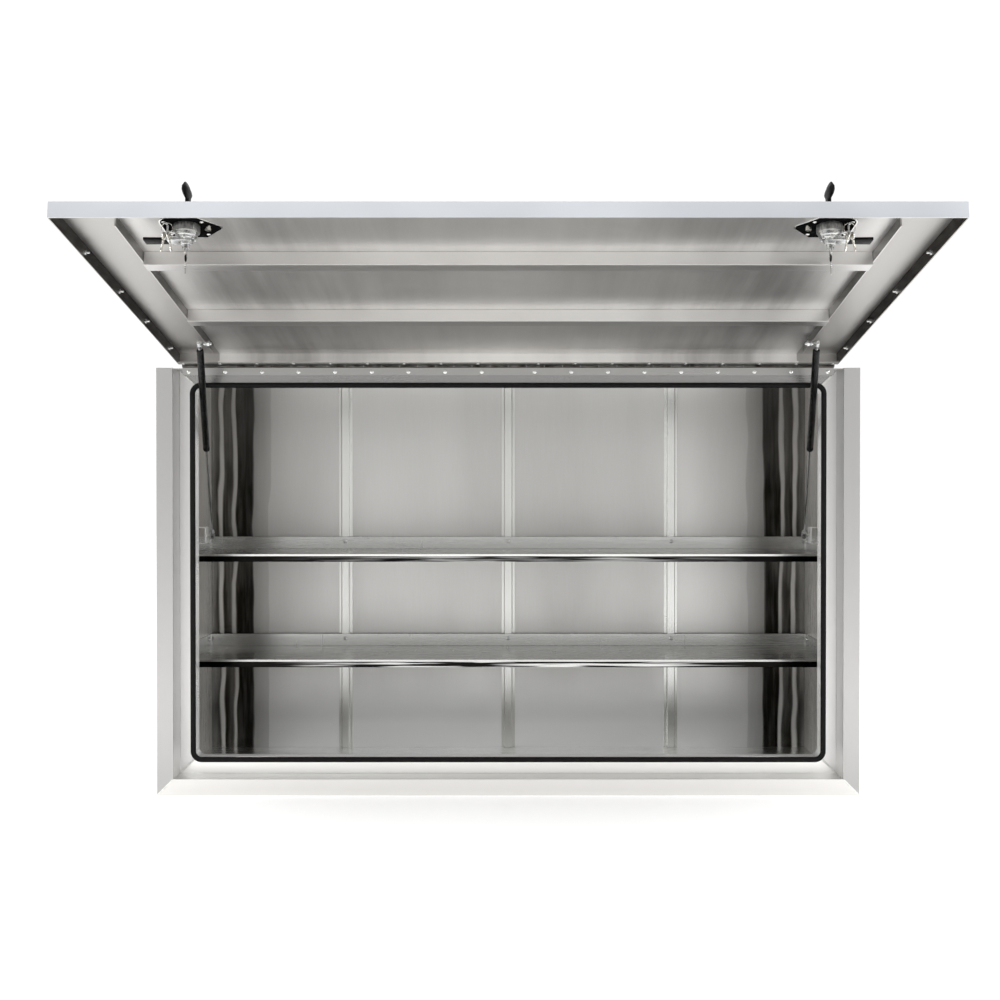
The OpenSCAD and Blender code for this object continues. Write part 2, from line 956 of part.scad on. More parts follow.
// Arm on the hub with an upright ear and a headed pin, which carries the key ring
module key_hook() {
    ear_u = ring_u - hook_off;
    reach = norm([ring_x, ear_u]);
    rotate([0, atan2(ear_u, ring_x), 0])
        translate([hub_r - hook_w, -hook_arm_n - hook_w, -hook_w / 2])
            cube([reach - hub_r + 1.5 * hook_w, hook_w, hook_w]);
    translate([ring_x - hook_w / 2, -hook_n - hook_w / 2, -ear_u - hook_ear / 2])
        cube([hook_w, hook_n + hook_w / 2 - hook_arm_n, hook_ear]);
    translate([ring_x, -hook_n, -ring_u - hook_half])
        cylinder(r = hook_r, h = hook_half + hook_off);
    translate([ring_x, -hook_n, -ring_u - hook_half])
        cylinder(r = 2 * hook_r, h = hook_r);
}

// Fold-down handle: pivot barrel, stem and cross grip
module lock_handle(side) {
    grip_n = door_t + handle_h - grip_r;
    color("dimgray")
        at_lock(side)
            difference() {
                union() {
                    translate([0, -handle_pin_n, -clevis_in + clevis_gap])
                        cylinder(r = clevis_w / 2, h = 2 * (clevis_in - clevis_gap));
                    door_span(-handle_w / 2, handle_w / 2, handle_pin_n, grip_n,
                        -clevis_in + clevis_gap, clevis_in - clevis_gap);
                    translate([0, -grip_n, -grip_l / 2 + grip_r])
                        cylinder(r = grip_r, h = grip_l - 2 * grip_r);
                    for (u = [-1, 1])
                        translate([0, -grip_n, u * (grip_l / 2 - grip_r)])
                            sphere(r = grip_r);
                }
                translate([0, -handle_pin_n, -grip_l])
                    cylinder(r = handle_pin_r, h = 2 * grip_l);
            }
    color("lightgray")
        at_lock(side)
            translate([0, -handle_pin_n, -clevis_in - clevis_t])
                cylinder(r = handle_pin_r, h = 2 * (clevis_in + clevis_t));
}

// Key barrel in the outer plate
module lock_cylinder(side) {
    color("lightgray")
        at_lock(side)
            translate([-key_off, 0, 0])
                difference() {
                    bar_n(key_r, skin_in - plate_t - barrel_in, door_t + plate_t);
                    door_span(-keyway_w / 2, keyway_w / 2, door_t, door_t + plate_t + 1,
                        -keyway_l / 2, keyway_l / 2);
                }
}

// A flat key hanging down from its head's hole, in the plane across the door
module hung_key() {
    difference() {
        union() {
            translate([0, 0, -key_t / 2])
                cylinder(r = key_head_r, h = key_t);
            translate([-blade_w / 2, 0, -blade_t / 2])
                cube([blade_w, key_head_r + key_blade, blade_t]);
        }
        translate([0, -key_head_r + key_eye_in, -key_t])
            cylinder(r = key_eye_r, h = 2 * key_t);
    }
}

// Split ring with two keys on the hub's hook
module key_ring(side) {
    color("silver")
        at_lock(side)
            translate([ring_x, -ring_n, -ring_u]) {
                rotate_extrude()
                    translate([ring_r, 0])
                        circle(r = ring_wire);
                for (side_u = [-1, 1])
                    translate([0, 0, side_u * ring_key_z])
                        rotate([0, 0, side_u * ring_fan])
                            translate([0, ring_r + key_head_r - key_eye_in, 0])
                                hung_key();
            }
}

module spare_key(side) {
    color("silver")
        at_lock(side)
            translate([0, -shaft_end_n - cross_hole_in, 0]) {
                cylinder(r = cross_pin_r, h = 2 * wire_x, center = true);
                for (z = [-1, 1])
                    translate([0, 0, z * wire_x])
                        rotate([-90, 0, 0])
                            cylinder(r = ring_wire, h = wire_l);
                translate([0, wire_l, 0])
                    cylinder(r = ring_wire, h = 2 * (wire_x + ring_wire), center = true);
                translate([0, wire_l + key_head_r - ring_wire, 0])
                    hung_key();
            }
}

// ---------- draw ----------
side_panel(-1);  // side_panel_left
side_panel(1);  // side_panel_right
back_panel();
roof_panel();
floor_panel();
front_frame_side(-1);  // front_frame_left
front_frame_side(1);  // front_frame_right
front_frame_bottom();
front_header();
opening_lip();
corner_welds();
door_seal();
hinge_leaf_body();
hinge_pin();
body_hinge_rivets();
back_stiffener(-stiff_x);  // back_stiffener_left
back_stiffener(0);  // back_stiffener_centre
back_stiffener(stiff_x);  // back_stiffener_right
shelf(shelf_upper_z, true);  // upper_shelf
shelf(shelf_lower_z, false);  // lower_shelf
shelf_screws();
strut_bracket(-1);  // strut_bracket_left
strut_bracket(1);  // strut_bracket_right
door_skin();
hinge_leaf_door();
door_hinge_rivets();
door_web(-1);  // door_web_left
door_web(1);  // door_web_right
door_cross(cross_front_u);  // door_cross_front
door_cross(cross_rear_u);  // door_cross_rear
door_side_screws();
door_stud(-1);  // door_stud_left
door_stud(1);  // door_stud_right
strut_rod(-1);  // strut_rod_left
strut_rod(1);  // strut_rod_right
strut_foot(-1);  // strut_foot_left
strut_foot(1);  // strut_foot_right
strut_tube(-1);  // strut_tube_left
strut_tube(1);  // strut_tube_right
strut_head(-1);  // strut_head_left
strut_head(1);  // strut_head_right
lock_dish(-1);  // lock_dish_left
lock_dish(1);  // lock_dish_right
lock_backplate(-1);  // lock_backplate_left
lock_backplate(1);  // lock_backplate_right
lock_rivets();
lock_shaft(-1);  // lock_shaft_left
lock_shaft(1);  // lock_shaft_right
lock_tongue(-1);  // lock_tongue_left
lock_tongue(1);  // lock_tongue_right
lock_handle(-1);  // lock_handle_left
lock_handle(1);  // lock_handle_right
lock_cylinder(-1);  // lock_cylinder_left
lock_cylinder(1);  // lock_cylinder_right
key_ring(-1);  // key_ring_left
key_ring(1);  // key_ring_right
spare_key(-1);  // spare_key_left
spare_key(1);  // spare_key_right
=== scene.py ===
# %% [markdown]
# # A truck tool box with a lift-up door
# The box is folded and welded from bright aluminium sheet. Its door is a shallow tray on a long
# piano hinge, held open by two gas struts, with a folding T-handle lock near each front corner.
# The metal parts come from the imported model, which is the fixed frame: everything made here takes
# its place and its size from that frame, so nothing has to be fitted by eye.

# %% Load the frame
import json
import math

import bmesh
import bpy
from mathutils import Matrix, Vector

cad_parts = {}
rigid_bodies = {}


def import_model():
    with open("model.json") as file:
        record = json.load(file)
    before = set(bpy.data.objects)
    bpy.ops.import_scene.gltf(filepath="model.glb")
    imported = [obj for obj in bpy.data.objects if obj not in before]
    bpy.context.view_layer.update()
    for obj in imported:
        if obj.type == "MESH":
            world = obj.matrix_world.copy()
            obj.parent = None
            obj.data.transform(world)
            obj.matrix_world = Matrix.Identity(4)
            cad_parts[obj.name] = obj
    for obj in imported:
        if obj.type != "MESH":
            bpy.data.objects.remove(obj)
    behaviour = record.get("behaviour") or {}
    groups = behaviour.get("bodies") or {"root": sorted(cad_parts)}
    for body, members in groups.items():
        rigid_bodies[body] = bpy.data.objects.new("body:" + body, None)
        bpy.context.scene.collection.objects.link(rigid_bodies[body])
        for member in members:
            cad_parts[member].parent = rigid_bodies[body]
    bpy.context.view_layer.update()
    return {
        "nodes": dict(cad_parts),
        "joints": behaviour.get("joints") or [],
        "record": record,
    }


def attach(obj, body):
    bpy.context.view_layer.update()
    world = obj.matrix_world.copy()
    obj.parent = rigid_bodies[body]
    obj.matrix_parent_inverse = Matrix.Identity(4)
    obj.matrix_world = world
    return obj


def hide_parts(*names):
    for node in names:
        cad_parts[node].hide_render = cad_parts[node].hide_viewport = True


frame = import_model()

mm = 0.001
joints = {joint["name"]: joint for joint in frame["joints"]}
body_of = {node: body for body, group in frame["record"]["behaviour"]["bodies"].items() for node in group}

# %% [markdown]
# ## Reading places from the frame
# A designer would read a drawing. Here the drawing is the mesh of each node, so three small
# functions measure it: the levels of its faces along an axis, its box in a turned frame such as
# the open door's, and where a joint's pivot is. The door and locks get their own frames, in
# which x runs across, n is the height above the door's edge plane and u the distance from the
# hinge.

# %% Measuring helpers
def corners_in(node, matrix=Matrix.Identity(4)):
    """Lowest and highest corner of a node in the frame that the matrix places in the world."""
    back = matrix.inverted()
    points = [back @ vertex.co for vertex in frame["nodes"][node].data.vertices]
    low = Vector([min(p[i] for p in points) for i in range(3)])
    high = Vector([max(p[i] for p in points) for i in range(3)])
    return low, high


def levels(node, axis):
    """The sorted, distinct places of a node's vertices along one axis, to a tenth of a millimetre."""
    return sorted({round(v.co[axis], 4) for v in frame["nodes"][node].data.vertices})


def pivot(joint):
    """The place that a joint turns about or slides from."""
    return Vector(joints[joint]["pos_m"])


open_angle = math.radians(joints["door_hinge"]["range_deg"][1])
hinge_axis = pivot("door_hinge")
door_raw = Matrix.Translation(hinge_axis) @ Matrix.Rotation(-open_angle, 4, "X")
skin_low, skin_high = corners_in("door_skin", door_raw)
# The door frame: local y is minus the height n above the edge plane, local z is minus u
door = door_raw @ Matrix.Translation((0, skin_high.y, 0))
skin_low, skin_high = corners_in("door_skin", door)
door_half, door_top, door_length = skin_high.x, -skin_low.y, -skin_low.z
print("door:", round(2 * door_half, 4), "wide,", round(door_length, 4), "long,", round(door_top, 4), "thick")

# %% [markdown]
# ## Mesh helpers
# Small turned parts are lathe work, so one function spins a profile of radius and height. Sheet
# metal is folded, never razor sharp, so one function takes a copy of a node, merges its loose
# triangles back into clean faces, rounds every fold with a small bevel and weights the normals so
# that flat faces stay flat. The copy replaces the node and rides on the node's body.

# %% From a bmesh to a finished piece
def mesh_object(name, bm, material, smooth_angle=35):
    """A finished piece from a bmesh: doubles merged, faces outwards, smooth up to an angle."""
    bmesh.ops.remove_doubles(bm, verts=bm.verts, dist=2e-6)
    bmesh.ops.recalc_face_normals(bm, faces=bm.faces)
    mesh = bpy.data.meshes.new(name)
    bm.to_mesh(mesh)
    bm.free()
    mesh.materials.append(material)
    mesh.shade_smooth()
    mesh.set_sharp_from_angle(angle=math.radians(smooth_angle))
    piece = bpy.data.objects.new(name, mesh)
    bpy.context.scene.collection.objects.link(piece)
    return piece


# %% Lathe and sweep
def add_lathe(bm, profile, matrix=Matrix.Identity(4), turns=40):
    """Spins a profile of (radius, height) pairs about local z. Ends on the axis are closed."""
    rings = []
    for radius, height in profile:
        if radius < 1e-7:
            rings.append([bm.verts.new(matrix @ Vector((0, 0, height)))])
            continue
        step = 2 * math.pi / turns
        rings.append([bm.verts.new(matrix @ Vector((radius * math.cos(i * step), radius * math.sin(i * step),
                                                    height)))
                      for i in range(turns)])
    for low, high in zip(rings, rings[1:]):
        for i in range(turns):
            j = (i + 1) % turns
            if len(low) == 1 and len(high) == 1:
                continue
            if len(low) == 1:
                bm.faces.new((low[0], high[i], high[j]))
            elif len(high) == 1:
                bm.faces.new((low[i], low[j], high[0]))
            else:
                bm.faces.new((low[i], low[j], high[j], high[i]))
    for ring in (rings[0], rings[-1]):
        if len(ring) > 1:
            bm.faces.new(ring)


def add_sweep(bm, rings, closed=False):
    """Joins rings of points with faces. An open sweep has its two ends closed."""
    rows = [[bm.verts.new(point) for point in ring] for ring in rings]
    pairs = list(zip(rows, rows[1:])) + ([(rows[-1], rows[0])] if closed else [])
    for low, high in pairs:
        for i in range(len(low)):
            j = (i + 1) % len(low)
            bm.faces.new((low[i], low[j], high[j], high[i]))
    if not closed:
        bm.faces.new(rows[0])
        bm.faces.new(rows[-1])


# %% Rounded edges and folded sheet
def round_edges(bm, width, segments=2, sharp_angle=30):
    """Rounds every edge where two faces meet at more than the sharp angle, in degrees."""
    sharp = [edge for edge in bm.edges
             if len(edge.link_faces) == 2 and edge.calc_face_angle(0) > math.radians(sharp_angle)]
    bmesh.ops.bevel(bm, geom=sharp, offset=width, segments=segments, affect="EDGES", profile=0.5,
                    clamp_overlap=True)


def bevelled(bm, width):
    """Closes a shape that was built face by face, and rounds its sharp edges."""
    bmesh.ops.remove_doubles(bm, verts=bm.verts, dist=2e-6)
    bmesh.ops.recalc_face_normals(bm, faces=bm.faces)
    round_edges(bm, width)


def along(start, end):
    """A matrix whose local z runs from start to end."""
    run = end - start
    return Matrix.Translation(start) @ run.to_track_quat("Z", "Y").to_matrix().to_4x4()


def fold_sheet(node, material, fold=0.7 * mm):
    """A folded copy of a sheet-metal node, with rounded edges, that stands for the node."""
    bm = bmesh.new()
    bm.from_mesh(frame["nodes"][node].data)
    bmesh.ops.remove_doubles(bm, verts=bm.verts, dist=1e-5)
    bmesh.ops.dissolve_limit(bm, angle_limit=math.radians(1), verts=bm.verts, edges=bm.edges)
    round_edges(bm, fold)
    piece = mesh_object(node + "_fold", bm, material, smooth_angle=50)
    weigh = piece.modifiers.new("flat faces", "WEIGHTED_NORMAL")
    weigh.keep_sharp = True
    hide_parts(node)
    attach(piece, body_of[node])
    return piece


# %% [markdown]
# ## Camera
# The box is seen square on from the front and from just above the middle of the opening, so that
# the shelves are seen from above and the open door from below. A 50 mm lens about three metres
# away keeps the sides nearly parallel, with the door, which reaches towards the lens, larger than
# the box behind it.

# %% Camera
camera_data = bpy.data.cameras.new("camera")
camera_data.lens = 50.79
camera_data.sensor_width = 36
camera_data.shift_x = -0.0082
camera = bpy.data.objects.new("camera", camera_data)
camera_back = 3.0063
camera_up = 0.6646
camera_tip = 0.011
camera.location = (0, levels("front_frame_bottom", 1)[0] - camera_back, camera_up)
camera.rotation_euler = (math.pi / 2 - camera_tip, 0, 0)
bpy.context.scene.collection.objects.link(camera)
bpy.context.scene.camera = camera
bpy.context.scene.view_settings.view_transform = "Standard"
print("camera at", [round(v, 3) for v in camera.location])

# %% [markdown]
# ## Materials
# Colours are given as sRGB hex, as a paint chart would, and one function turns them into the
# linear values that the shader wants. Another adds one node with its settings and its links, so
# that a material reads as a short list.

# %% Material helpers
def linear(hex_colour):
    """Linear red, green, blue and alpha from an sRGB hex colour."""
    channels = [int(hex_colour[i:i + 2], 16) / 255 for i in (1, 3, 5)]
    return tuple(c / 12.92 if c <= 0.04045 else ((c + 0.055) / 1.055) ** 2.4 for c in channels) + (1.0,)


def add(tree, kind, inputs=None, **settings):
    """Adds a node, sets its properties, and links or sets its inputs."""
    node = tree.nodes.new(kind)
    for name, value in settings.items():
        setattr(node, name, value)
    for name, value in (inputs or {}).items():
        if isinstance(value, bpy.types.NodeSocket):
            tree.links.new(value, node.inputs[name])
        else:
            node.inputs[name].default_value = value
    return node


def new_finish(name):
    """An empty material with a Principled shader, and the Object coordinates in metres."""
    material = bpy.data.materials.new(name)
    material.use_nodes = True
    tree = material.node_tree
    tree.nodes.clear()
    shader = add(tree, "ShaderNodeBsdfPrincipled")
    add(tree, "ShaderNodeOutputMaterial", {"Surface": shader.outputs["BSDF"]})
    place = add(tree, "ShaderNodeTexCoord").outputs["Object"]
    return material, tree, shader, place


def noise(tree, place, size, stretch=(1, 1, 1), detail=3, turn=(0, 0, 0)):
    """Noise whose features are about `size` metres across, longer where stretch is above 1."""
    scaled = add(tree, "ShaderNodeMapping", {"Vector": place, "Rotation": turn,
                 "Scale": tuple(1 / (size * s) for s in stretch)})
    grain = add(tree, "ShaderNodeTexNoise", {"Vector": scaled.outputs["Vector"], "Scale": 1.0,
                                             "Detail": detail,
                "Roughness": 0.55})
    return grain.outputs["Fac"]


def spread(tree, value, low, high, start=0.35, end=0.65):
    """Maps a noise value from start..end to low..high, and clamps it."""
    return add(tree, "ShaderNodeMapRange", {"Value": value, "From Min": start, "From Max": end,
               "To Min": low, "To Max": high}).outputs["Result"]


def blend_colours(tree, factor, first, second):
    """Mixes a first colour, which is hex or another node's colour, with a second hex colour."""
    first = linear(first) if isinstance(first, str) else first
    mix = add(tree, "ShaderNodeMix", {"Factor": factor, "A": first, "B": linear(second)}, data_type="RGBA")
    return mix.outputs["Result"]


# %% [markdown]
# ### Bright rolled aluminium
# Mill-finish aluminium sheet is rolled between polished rolls. That leaves a bright surface with
# very fine lines along the rolling direction, slow waves that bend reflections ("oil canning"),
# and hairline scratches from handling. Three stretched noises make these: the fine lines change the
# roughness, the slow waves go into the bump, and thin peaks of a third noise are the scratches.
# The rolling lines of a real sheet are 0.1 mm apart, which is too fine to show in the render, so
# they are drawn about 1.5 mm apart.

# %% Bright rolled aluminium
def rolled_aluminium(name, light, dark, rough, grain_axis, wave=0.12 * mm, wave_size=140 * mm, lined=1.0,
                     scratched=1.0):
    """Rolled sheet with its grain along one axis, 0 to 2. Returns the material with its tree, shader
    and colour, so that a wall can be given painted dark bands of reflection."""
    material, tree, shader, place = new_finish(name)
    along_grain = tuple(40 if i == grain_axis else 1 for i in range(3))
    wave_grain = tuple(6 if i == grain_axis else 1 for i in range(3))
    lines = noise(tree, place, 1.5 * mm, along_grain, detail=2)
    cloud = noise(tree, place, 300 * mm, wave_grain, detail=2)
    waves = noise(tree, place, wave_size, wave_grain, detail=1)
    scratch_a = noise(tree, place, 0.9 * mm, (60, 60, 5), detail=0, turn=(0.5, 0.7, 0.4))
    scratch_b = noise(tree, place, 1.0 * mm, (5, 60, 60), detail=0, turn=(-0.4, 0.3, 0.9))
    peaks = add(tree, "ShaderNodeMath", {0: scratch_a, 1: scratch_b}, operation="MAXIMUM").outputs["Value"]
    scratches = spread(tree, peaks, 0, 0.10 * scratched, 0.80, 0.88)
    rolled = spread(tree, lines, -0.03 * lined, 0.03 * lined)
    patchy = spread(tree, cloud, rough * 0.85, rough * 1.15)
    scuffed = add(tree, "ShaderNodeMath", {0: scratches, 1: rolled}, operation="ADD").outputs["Value"]
    roughness = add(tree, "ShaderNodeMath", {0: patchy, 1: scuffed}, operation="ADD", use_clamp=True)
    streak = add(tree, "ShaderNodeMath", {0: spread(tree, lines, 0, 0.25 * lined),
                                          1: spread(tree, cloud, 0, 0.75)},
                 operation="ADD").outputs["Value"]
    colour = blend_colours(tree, streak, light, dark)
    tree.links.new(colour, shader.inputs["Base Color"])
    tree.links.new(roughness.outputs["Value"], shader.inputs["Roughness"])
    shader.inputs["Metallic"].default_value = 1.0
    slow = add(tree, "ShaderNodeBump", {"Height": waves, "Distance": wave, "Strength": 1.0})
    fine = add(tree, "ShaderNodeBump", {"Height": lines, "Distance": 0.0015 * lined * mm, "Strength": 0.5,
               "Normal": slow.outputs["Normal"]})
    tree.links.new(fine.outputs["Normal"], shader.inputs["Normal"])
    return material, tree, shader, colour


def plain_aluminium(name, light, dark, rough, grain_axis, **settings):
    return rolled_aluminium(name, light, dark, rough, grain_axis, **settings)[0]


sheet_across = plain_aluminium("rolled_aluminium_across", "#F0F0EE", "#DEDEDB", 0.28, 0, scratched=0.3)
header_sheet = plain_aluminium("rolled_aluminium_header", "#A3A2A1", "#969594", 0.27, 0, lined=0.4,
                               scratched=0.2)
lip_sheet = plain_aluminium("bright_lip_painted_highlight", "#FFFFFF", "#F4F4F2", 0.30, 0, lined=0.2, scratched=0)
side_sheet = plain_aluminium("bright_rolled_aluminium_side", "#F2F0EC", "#CFCAC3", 0.34, 2, wave=0.3 * mm,
                             wave_size=70 * mm, lined=2.0, scratched=0.5)
# The lip's white colour with a lower metal share is a painted highlight along its edge; the side walls get
# the same lower metal share.
for lowered_metal_finish, metal_share in ((lip_sheet, 0.55), (side_sheet, 0.55)):
    lowered_metal_finish.node_tree.nodes["Principled BSDF"].inputs["Metallic"].default_value = metal_share
stiff_sheet = plain_aluminium("rolled_aluminium_stiffener", "#E0E0DE", "#CFCFCC", 0.28, 2, lined=0.5,
                              scratched=0.3)
print("plain aluminium finishes: 5")

# %% [markdown]
# ### Dark bands and tones
# Bright sheet in a box shows the dark inside of the box again and again, as upright, slightly wavy
# bands near the corners and as a dark front fold on each shelf. On the real box these are most
# likely reflections. A renderer could trace them, but they would need the real room, so here they
# are painted into the finish by place: a colour ramp over a distance gives the bands, and a noise
# bends them. They stay where they are when the camera or the door moves, as a reflection would not.

# %% Band helpers
def place_in(tree):
    """The Object coordinates that a finish already reads."""
    return tree.nodes["Texture Coordinate"].outputs["Object"]


def away_from_middle(tree, axis="X"):
    """Distance from the middle plane along an axis, and the separate coordinates."""
    split = add(tree, "ShaderNodeSeparateXYZ", {"Vector": place_in(tree)})
    away = add(tree, "ShaderNodeMath", {0: split.outputs[axis]}, operation="ABSOLUTE")
    return away.outputs["Value"], split


def wavy_distance(tree, wobble):
    """The same distance, bent by a slow noise along the height so that bands are not ruled lines."""
    away, split = away_from_middle(tree)
    bend = noise(tree, place_in(tree), 60 * mm, (1, 1, 3), detail=1)
    bent = add(tree, "ShaderNodeMath", {0: spread(tree, bend, -wobble, wobble), 1: away}, operation="ADD")
    return bent.outputs["Value"], split


def along_door(tree, direction):
    """Distance along a direction of the door's own frame, so that it turns with the open door."""
    way = door.to_3x3() @ Vector(direction)
    dotted = add(tree, "ShaderNodeVectorMath", {0: place_in(tree), 1: tuple(way)}, operation="DOT_PRODUCT")
    return add(tree, "ShaderNodeMath", {0: dotted.outputs["Value"], 1: way.dot(door.translation)},
               operation="SUBTRACT").outputs["Value"]


def ramp(tree, value, stops):
    """A colour ramp with (position, grey) stops, read as a value."""
    node = add(tree, "ShaderNodeValToRGB", {"Fac": value})
    elements = node.color_ramp.elements
    elements[0].position, elements[1].position = stops[0][0], stops[-1][0]
    for position, _ in stops[1:-1]:
        elements.new(position)
    for element, (_, grey) in zip(elements, stops):
        element.color = (grey, grey, grey, 1)
    return node.outputs["Color"]


def darken(tree, shader, colour, amount, dark, smooth_rough):
    """Mixes another tone and its roughness over a metal by an amount from 0 to 1."""
    tree.links.new(blend_colours(tree, amount, colour, dark), shader.inputs["Base Color"])
    old_rough = shader.inputs["Roughness"].links[0].from_socket
    blend_rough = add(tree, "ShaderNodeMix", {"Factor": amount, 2: old_rough, 3: smooth_rough},
                      data_type="FLOAT")
    tree.links.new(blend_rough.outputs[0], shader.inputs["Roughness"])


def at_level(tree, value, level):
    """One on the flat face at a level, otherwise zero."""
    face_half = 0.35 * mm
    return add(tree, "ShaderNodeMath", {0: value, 1: level, 2: face_half},
               operation="COMPARE").outputs["Value"]


def times(tree, first, second):
    return add(tree, "ShaderNodeMath", {0: first, 1: second}, operation="MULTIPLY",
               use_clamp=True).outputs["Value"]


def greater_of(tree, first, second):
    return add(tree, "ShaderNodeMath", {0: first, 1: second}, operation="MAXIMUM").outputs["Value"]


print("band helpers ready, door frame origin:", [round(v, 3) for v in door.translation])

# %% [markdown]
# ### Back wall
# The back wall is mill sheet with its grain upright. Towards each side wall it has four painted dark
# bands of reflection, of uneven width and deeper near the shelves, and painted light makes it paler close to
# the floor.

# %% Back wall finish
def back_wall_finish():
    material, tree, shader, colour = rolled_aluminium("bright_rolled_aluminium_back", "#CBCAC8", "#BDBCBA",
                                                      0.38, 2,
                                                      wave=0.10 * mm, lined=0.5, scratched=0.5)
    away, split = wavy_distance(tree, 4 * mm)
    # Painted light: the wall is paler close to the floor.
    low_light = spread(tree, split.outputs["Z"], 0.85, 0.0, 0.06, 0.20)
    lifted = blend_colours(tree, low_light, colour, "#FDFEFF")
    # Painted reflection: dark bands towards each side wall, deeper near the shelves and mottled.
    inner, outer = 0.590, 0.750
    share = add(tree, "ShaderNodeMapRange", {"Value": away, "From Min": inner,
                                             "From Max": outer}).outputs["Result"]
    bands = [(0.600, 0.0), (0.602, 0.22), (0.640, 0.34), (0.646, 0.96), (0.681, 1.0), (0.685, 0.10),
             (0.690, 0.14),
             (0.695, 0.90), (0.714, 1.0), (0.718, 0.08), (0.724, 0.12), (0.729, 0.98), (0.742, 0.80)]
    upright = ramp(tree, share, [((x - inner) / (outer - inner), grey) for x, grey in bands])
    top = 0.9
    height = add(tree, "ShaderNodeMapRange", {"Value": split.outputs["Z"], "From Min": 0.0, "From Max": top})
    lower, upper = [corners_in(shelf)[1].z for shelf in ("lower_shelf", "upper_shelf")]
    deepening = [(0.0, 1.0), (lower * 0.6 / top, 1.0), (lower * 0.92 / top, 0.85), (lower / top, 1.0),
                 ((lower + 0.1) / top, 1.0), ((upper - 0.02) / top, 0.8), (upper / top, 1.0),
                 ((upper + 0.12) / top, 0.98), ((upper + 0.2) / top, 0.88), (1.0, 0.80)]
    deep = ramp(tree, height.outputs["Result"], deepening)
    painted_mottle = noise(tree, place_in(tree), 9 * mm, (1, 1, 14), detail=3)
    mottled = times(tree, deep, spread(tree, painted_mottle, 0.90, 1.05))
    darken(tree, shader, lifted, times(tree, upright, mottled), "#221F18", 0.16)
    return material


back_sheet = back_wall_finish()
print("back wall bands: 4 on each side")

# %% [markdown]
# ### Shelves
# A shelf is pale sheet with a folded front lip. The lip's upper edge is a painted highlight line, and
# the rest of its face is a near-black painted reflection, broken by pale streaks towards the middle.

# %% Shelf finish
def shelf_finish(shelf, streak_share, highlight_tone):
    material, tree, shader, colour = rolled_aluminium("rolled_aluminium_" + shelf, "#CBCBC9", "#B4B4B2",
                                                      0.25, 0)
    away, split = wavy_distance(tree, 2 * mm)
    low = corners_in(shelf)[0]
    lip, bright = 18 * mm, 4.6 * mm
    on_fold = spread(tree, split.outputs["Y"], 1.0, 0.0, low.y + 0.2 * mm, low.y + 0.9 * mm)
    under_line = spread(tree, split.outputs["Z"], 1.0, 0.0, low.z + lip - bright - 0.5 * mm,
                        low.z + lip - bright)
    # Painted highlight: a bright line along the lip's upper edge.
    near_line = spread(tree, split.outputs["Y"], 1.0, 0.0, low.y + 3 * mm, low.y + 5 * mm)
    lit = blend_colours(tree, near_line, colour, highlight_tone)
    # Painted reflection: the rest of the lip's face is near black, broken by pale streaks.
    streak = noise(tree, place_in(tree), 5 * mm, (40, 1, 1), detail=2)
    in_middle = spread(tree, away, streak_share, 0.0, 0.25, 0.55)
    streaked = times(tree, in_middle, spread(tree, streak, 0.0, 1.6, 0.45, 0.62))
    black = add(tree, "ShaderNodeMath", {0: 1.0, 1: streaked}, operation="SUBTRACT",
                use_clamp=True).outputs["Value"]
    amount = times(tree, times(tree, on_fold, under_line), black)
    darken(tree, shader, lit, amount, "#151413", 0.2)
    return material


upper_shelf_sheet = shelf_finish("upper_shelf", 0.25, "#FAFAF8")
lower_shelf_sheet = shelf_finish("lower_shelf", 1.0, "#CFCFCD")
print("shelf finishes: 2")

# %% [markdown]
# ### Door
# The inside of the open door has a pale free edge, a soft grey field, a darker streaked middle and
# near-black inner faces on the side returns; the middle and the returns are painted reflection. Its
# outside is plain sheet, so a mask by height keeps all of these off it and gives it a darker tone, which is
# painted shade.

# %% Door finish
sheet = 2.5 * mm
web_inner, web_outer = [corner.x for corner in corners_in("door_web_right")]


def door_finish():
    material, tree, shader, colour = rolled_aluminium("rolled_aluminium_door", "#EFEEEC", "#E3E1DE", 0.40, 1,
                                                      wave=0.25 * mm, lined=0.3, scratched=0.5)
    place = place_in(tree)
    away = away_from_middle(tree)[0]
    reach, height = along_door(tree, (0, 0, -1)), along_door(tree, (0, -1, 0))
    outside_webs = spread(tree, away, 0.0, 1.0, web_outer - 1 * mm, web_outer + 1 * mm)
    inside = spread(tree, reach, 1.0, 0.0, door_length - 1.4 * mm, door_length - 1.0 * mm)
    on_edge = spread(tree, reach, 0.0, 1.0, door_length - 0.6 * mm, door_length - 0.3 * mm)
    toned = blend_colours(tree, times(tree, outside_webs, inside), colour, "#BCBAB7")
    edged = blend_colours(tree, on_edge, toned, "#CCCFD4")
    painted_mottle = noise(tree, place, 14 * mm, (1, 4, 1), detail=4)
    # Painted reflection: the side returns' inner faces are near black, mottled.
    return_face = at_level(tree, away, door_half - sheet)
    returns = times(tree, times(tree, return_face, inside), spread(tree, painted_mottle, 0.85, 1.0))
    # Painted reflection: the inside is darker and streaked towards the middle.
    shade = ramp(tree, away, [(0.0, 0.05), (0.22, 0.16), (0.42, 0.38), (0.52, 0.46), (0.60, 0.10),
                              (0.64, 0.0)])
    uneven = spread(tree, noise(tree, place, 30 * mm, (1, 12, 12)), 0.7, 1.1)
    reflected = times(tree, times(tree, shade, inside), uneven)
    painted_reflection_colour = blend_colours(tree, greater_of(tree, returns, reflected), edged, "#2B241D")
    # Painted shade: the outside gets a darker plain tone.
    outer_face = spread(tree, height, 0.0, 1.0, door_top - 0.5 * mm, door_top - 0.2 * mm)
    darken(tree, shader, painted_reflection_colour, outer_face, "#B4B4B3", 0.3)
    return material


sheet_door = door_finish()
print("door finish: returns", round(door_half - sheet, 4), "from the middle")
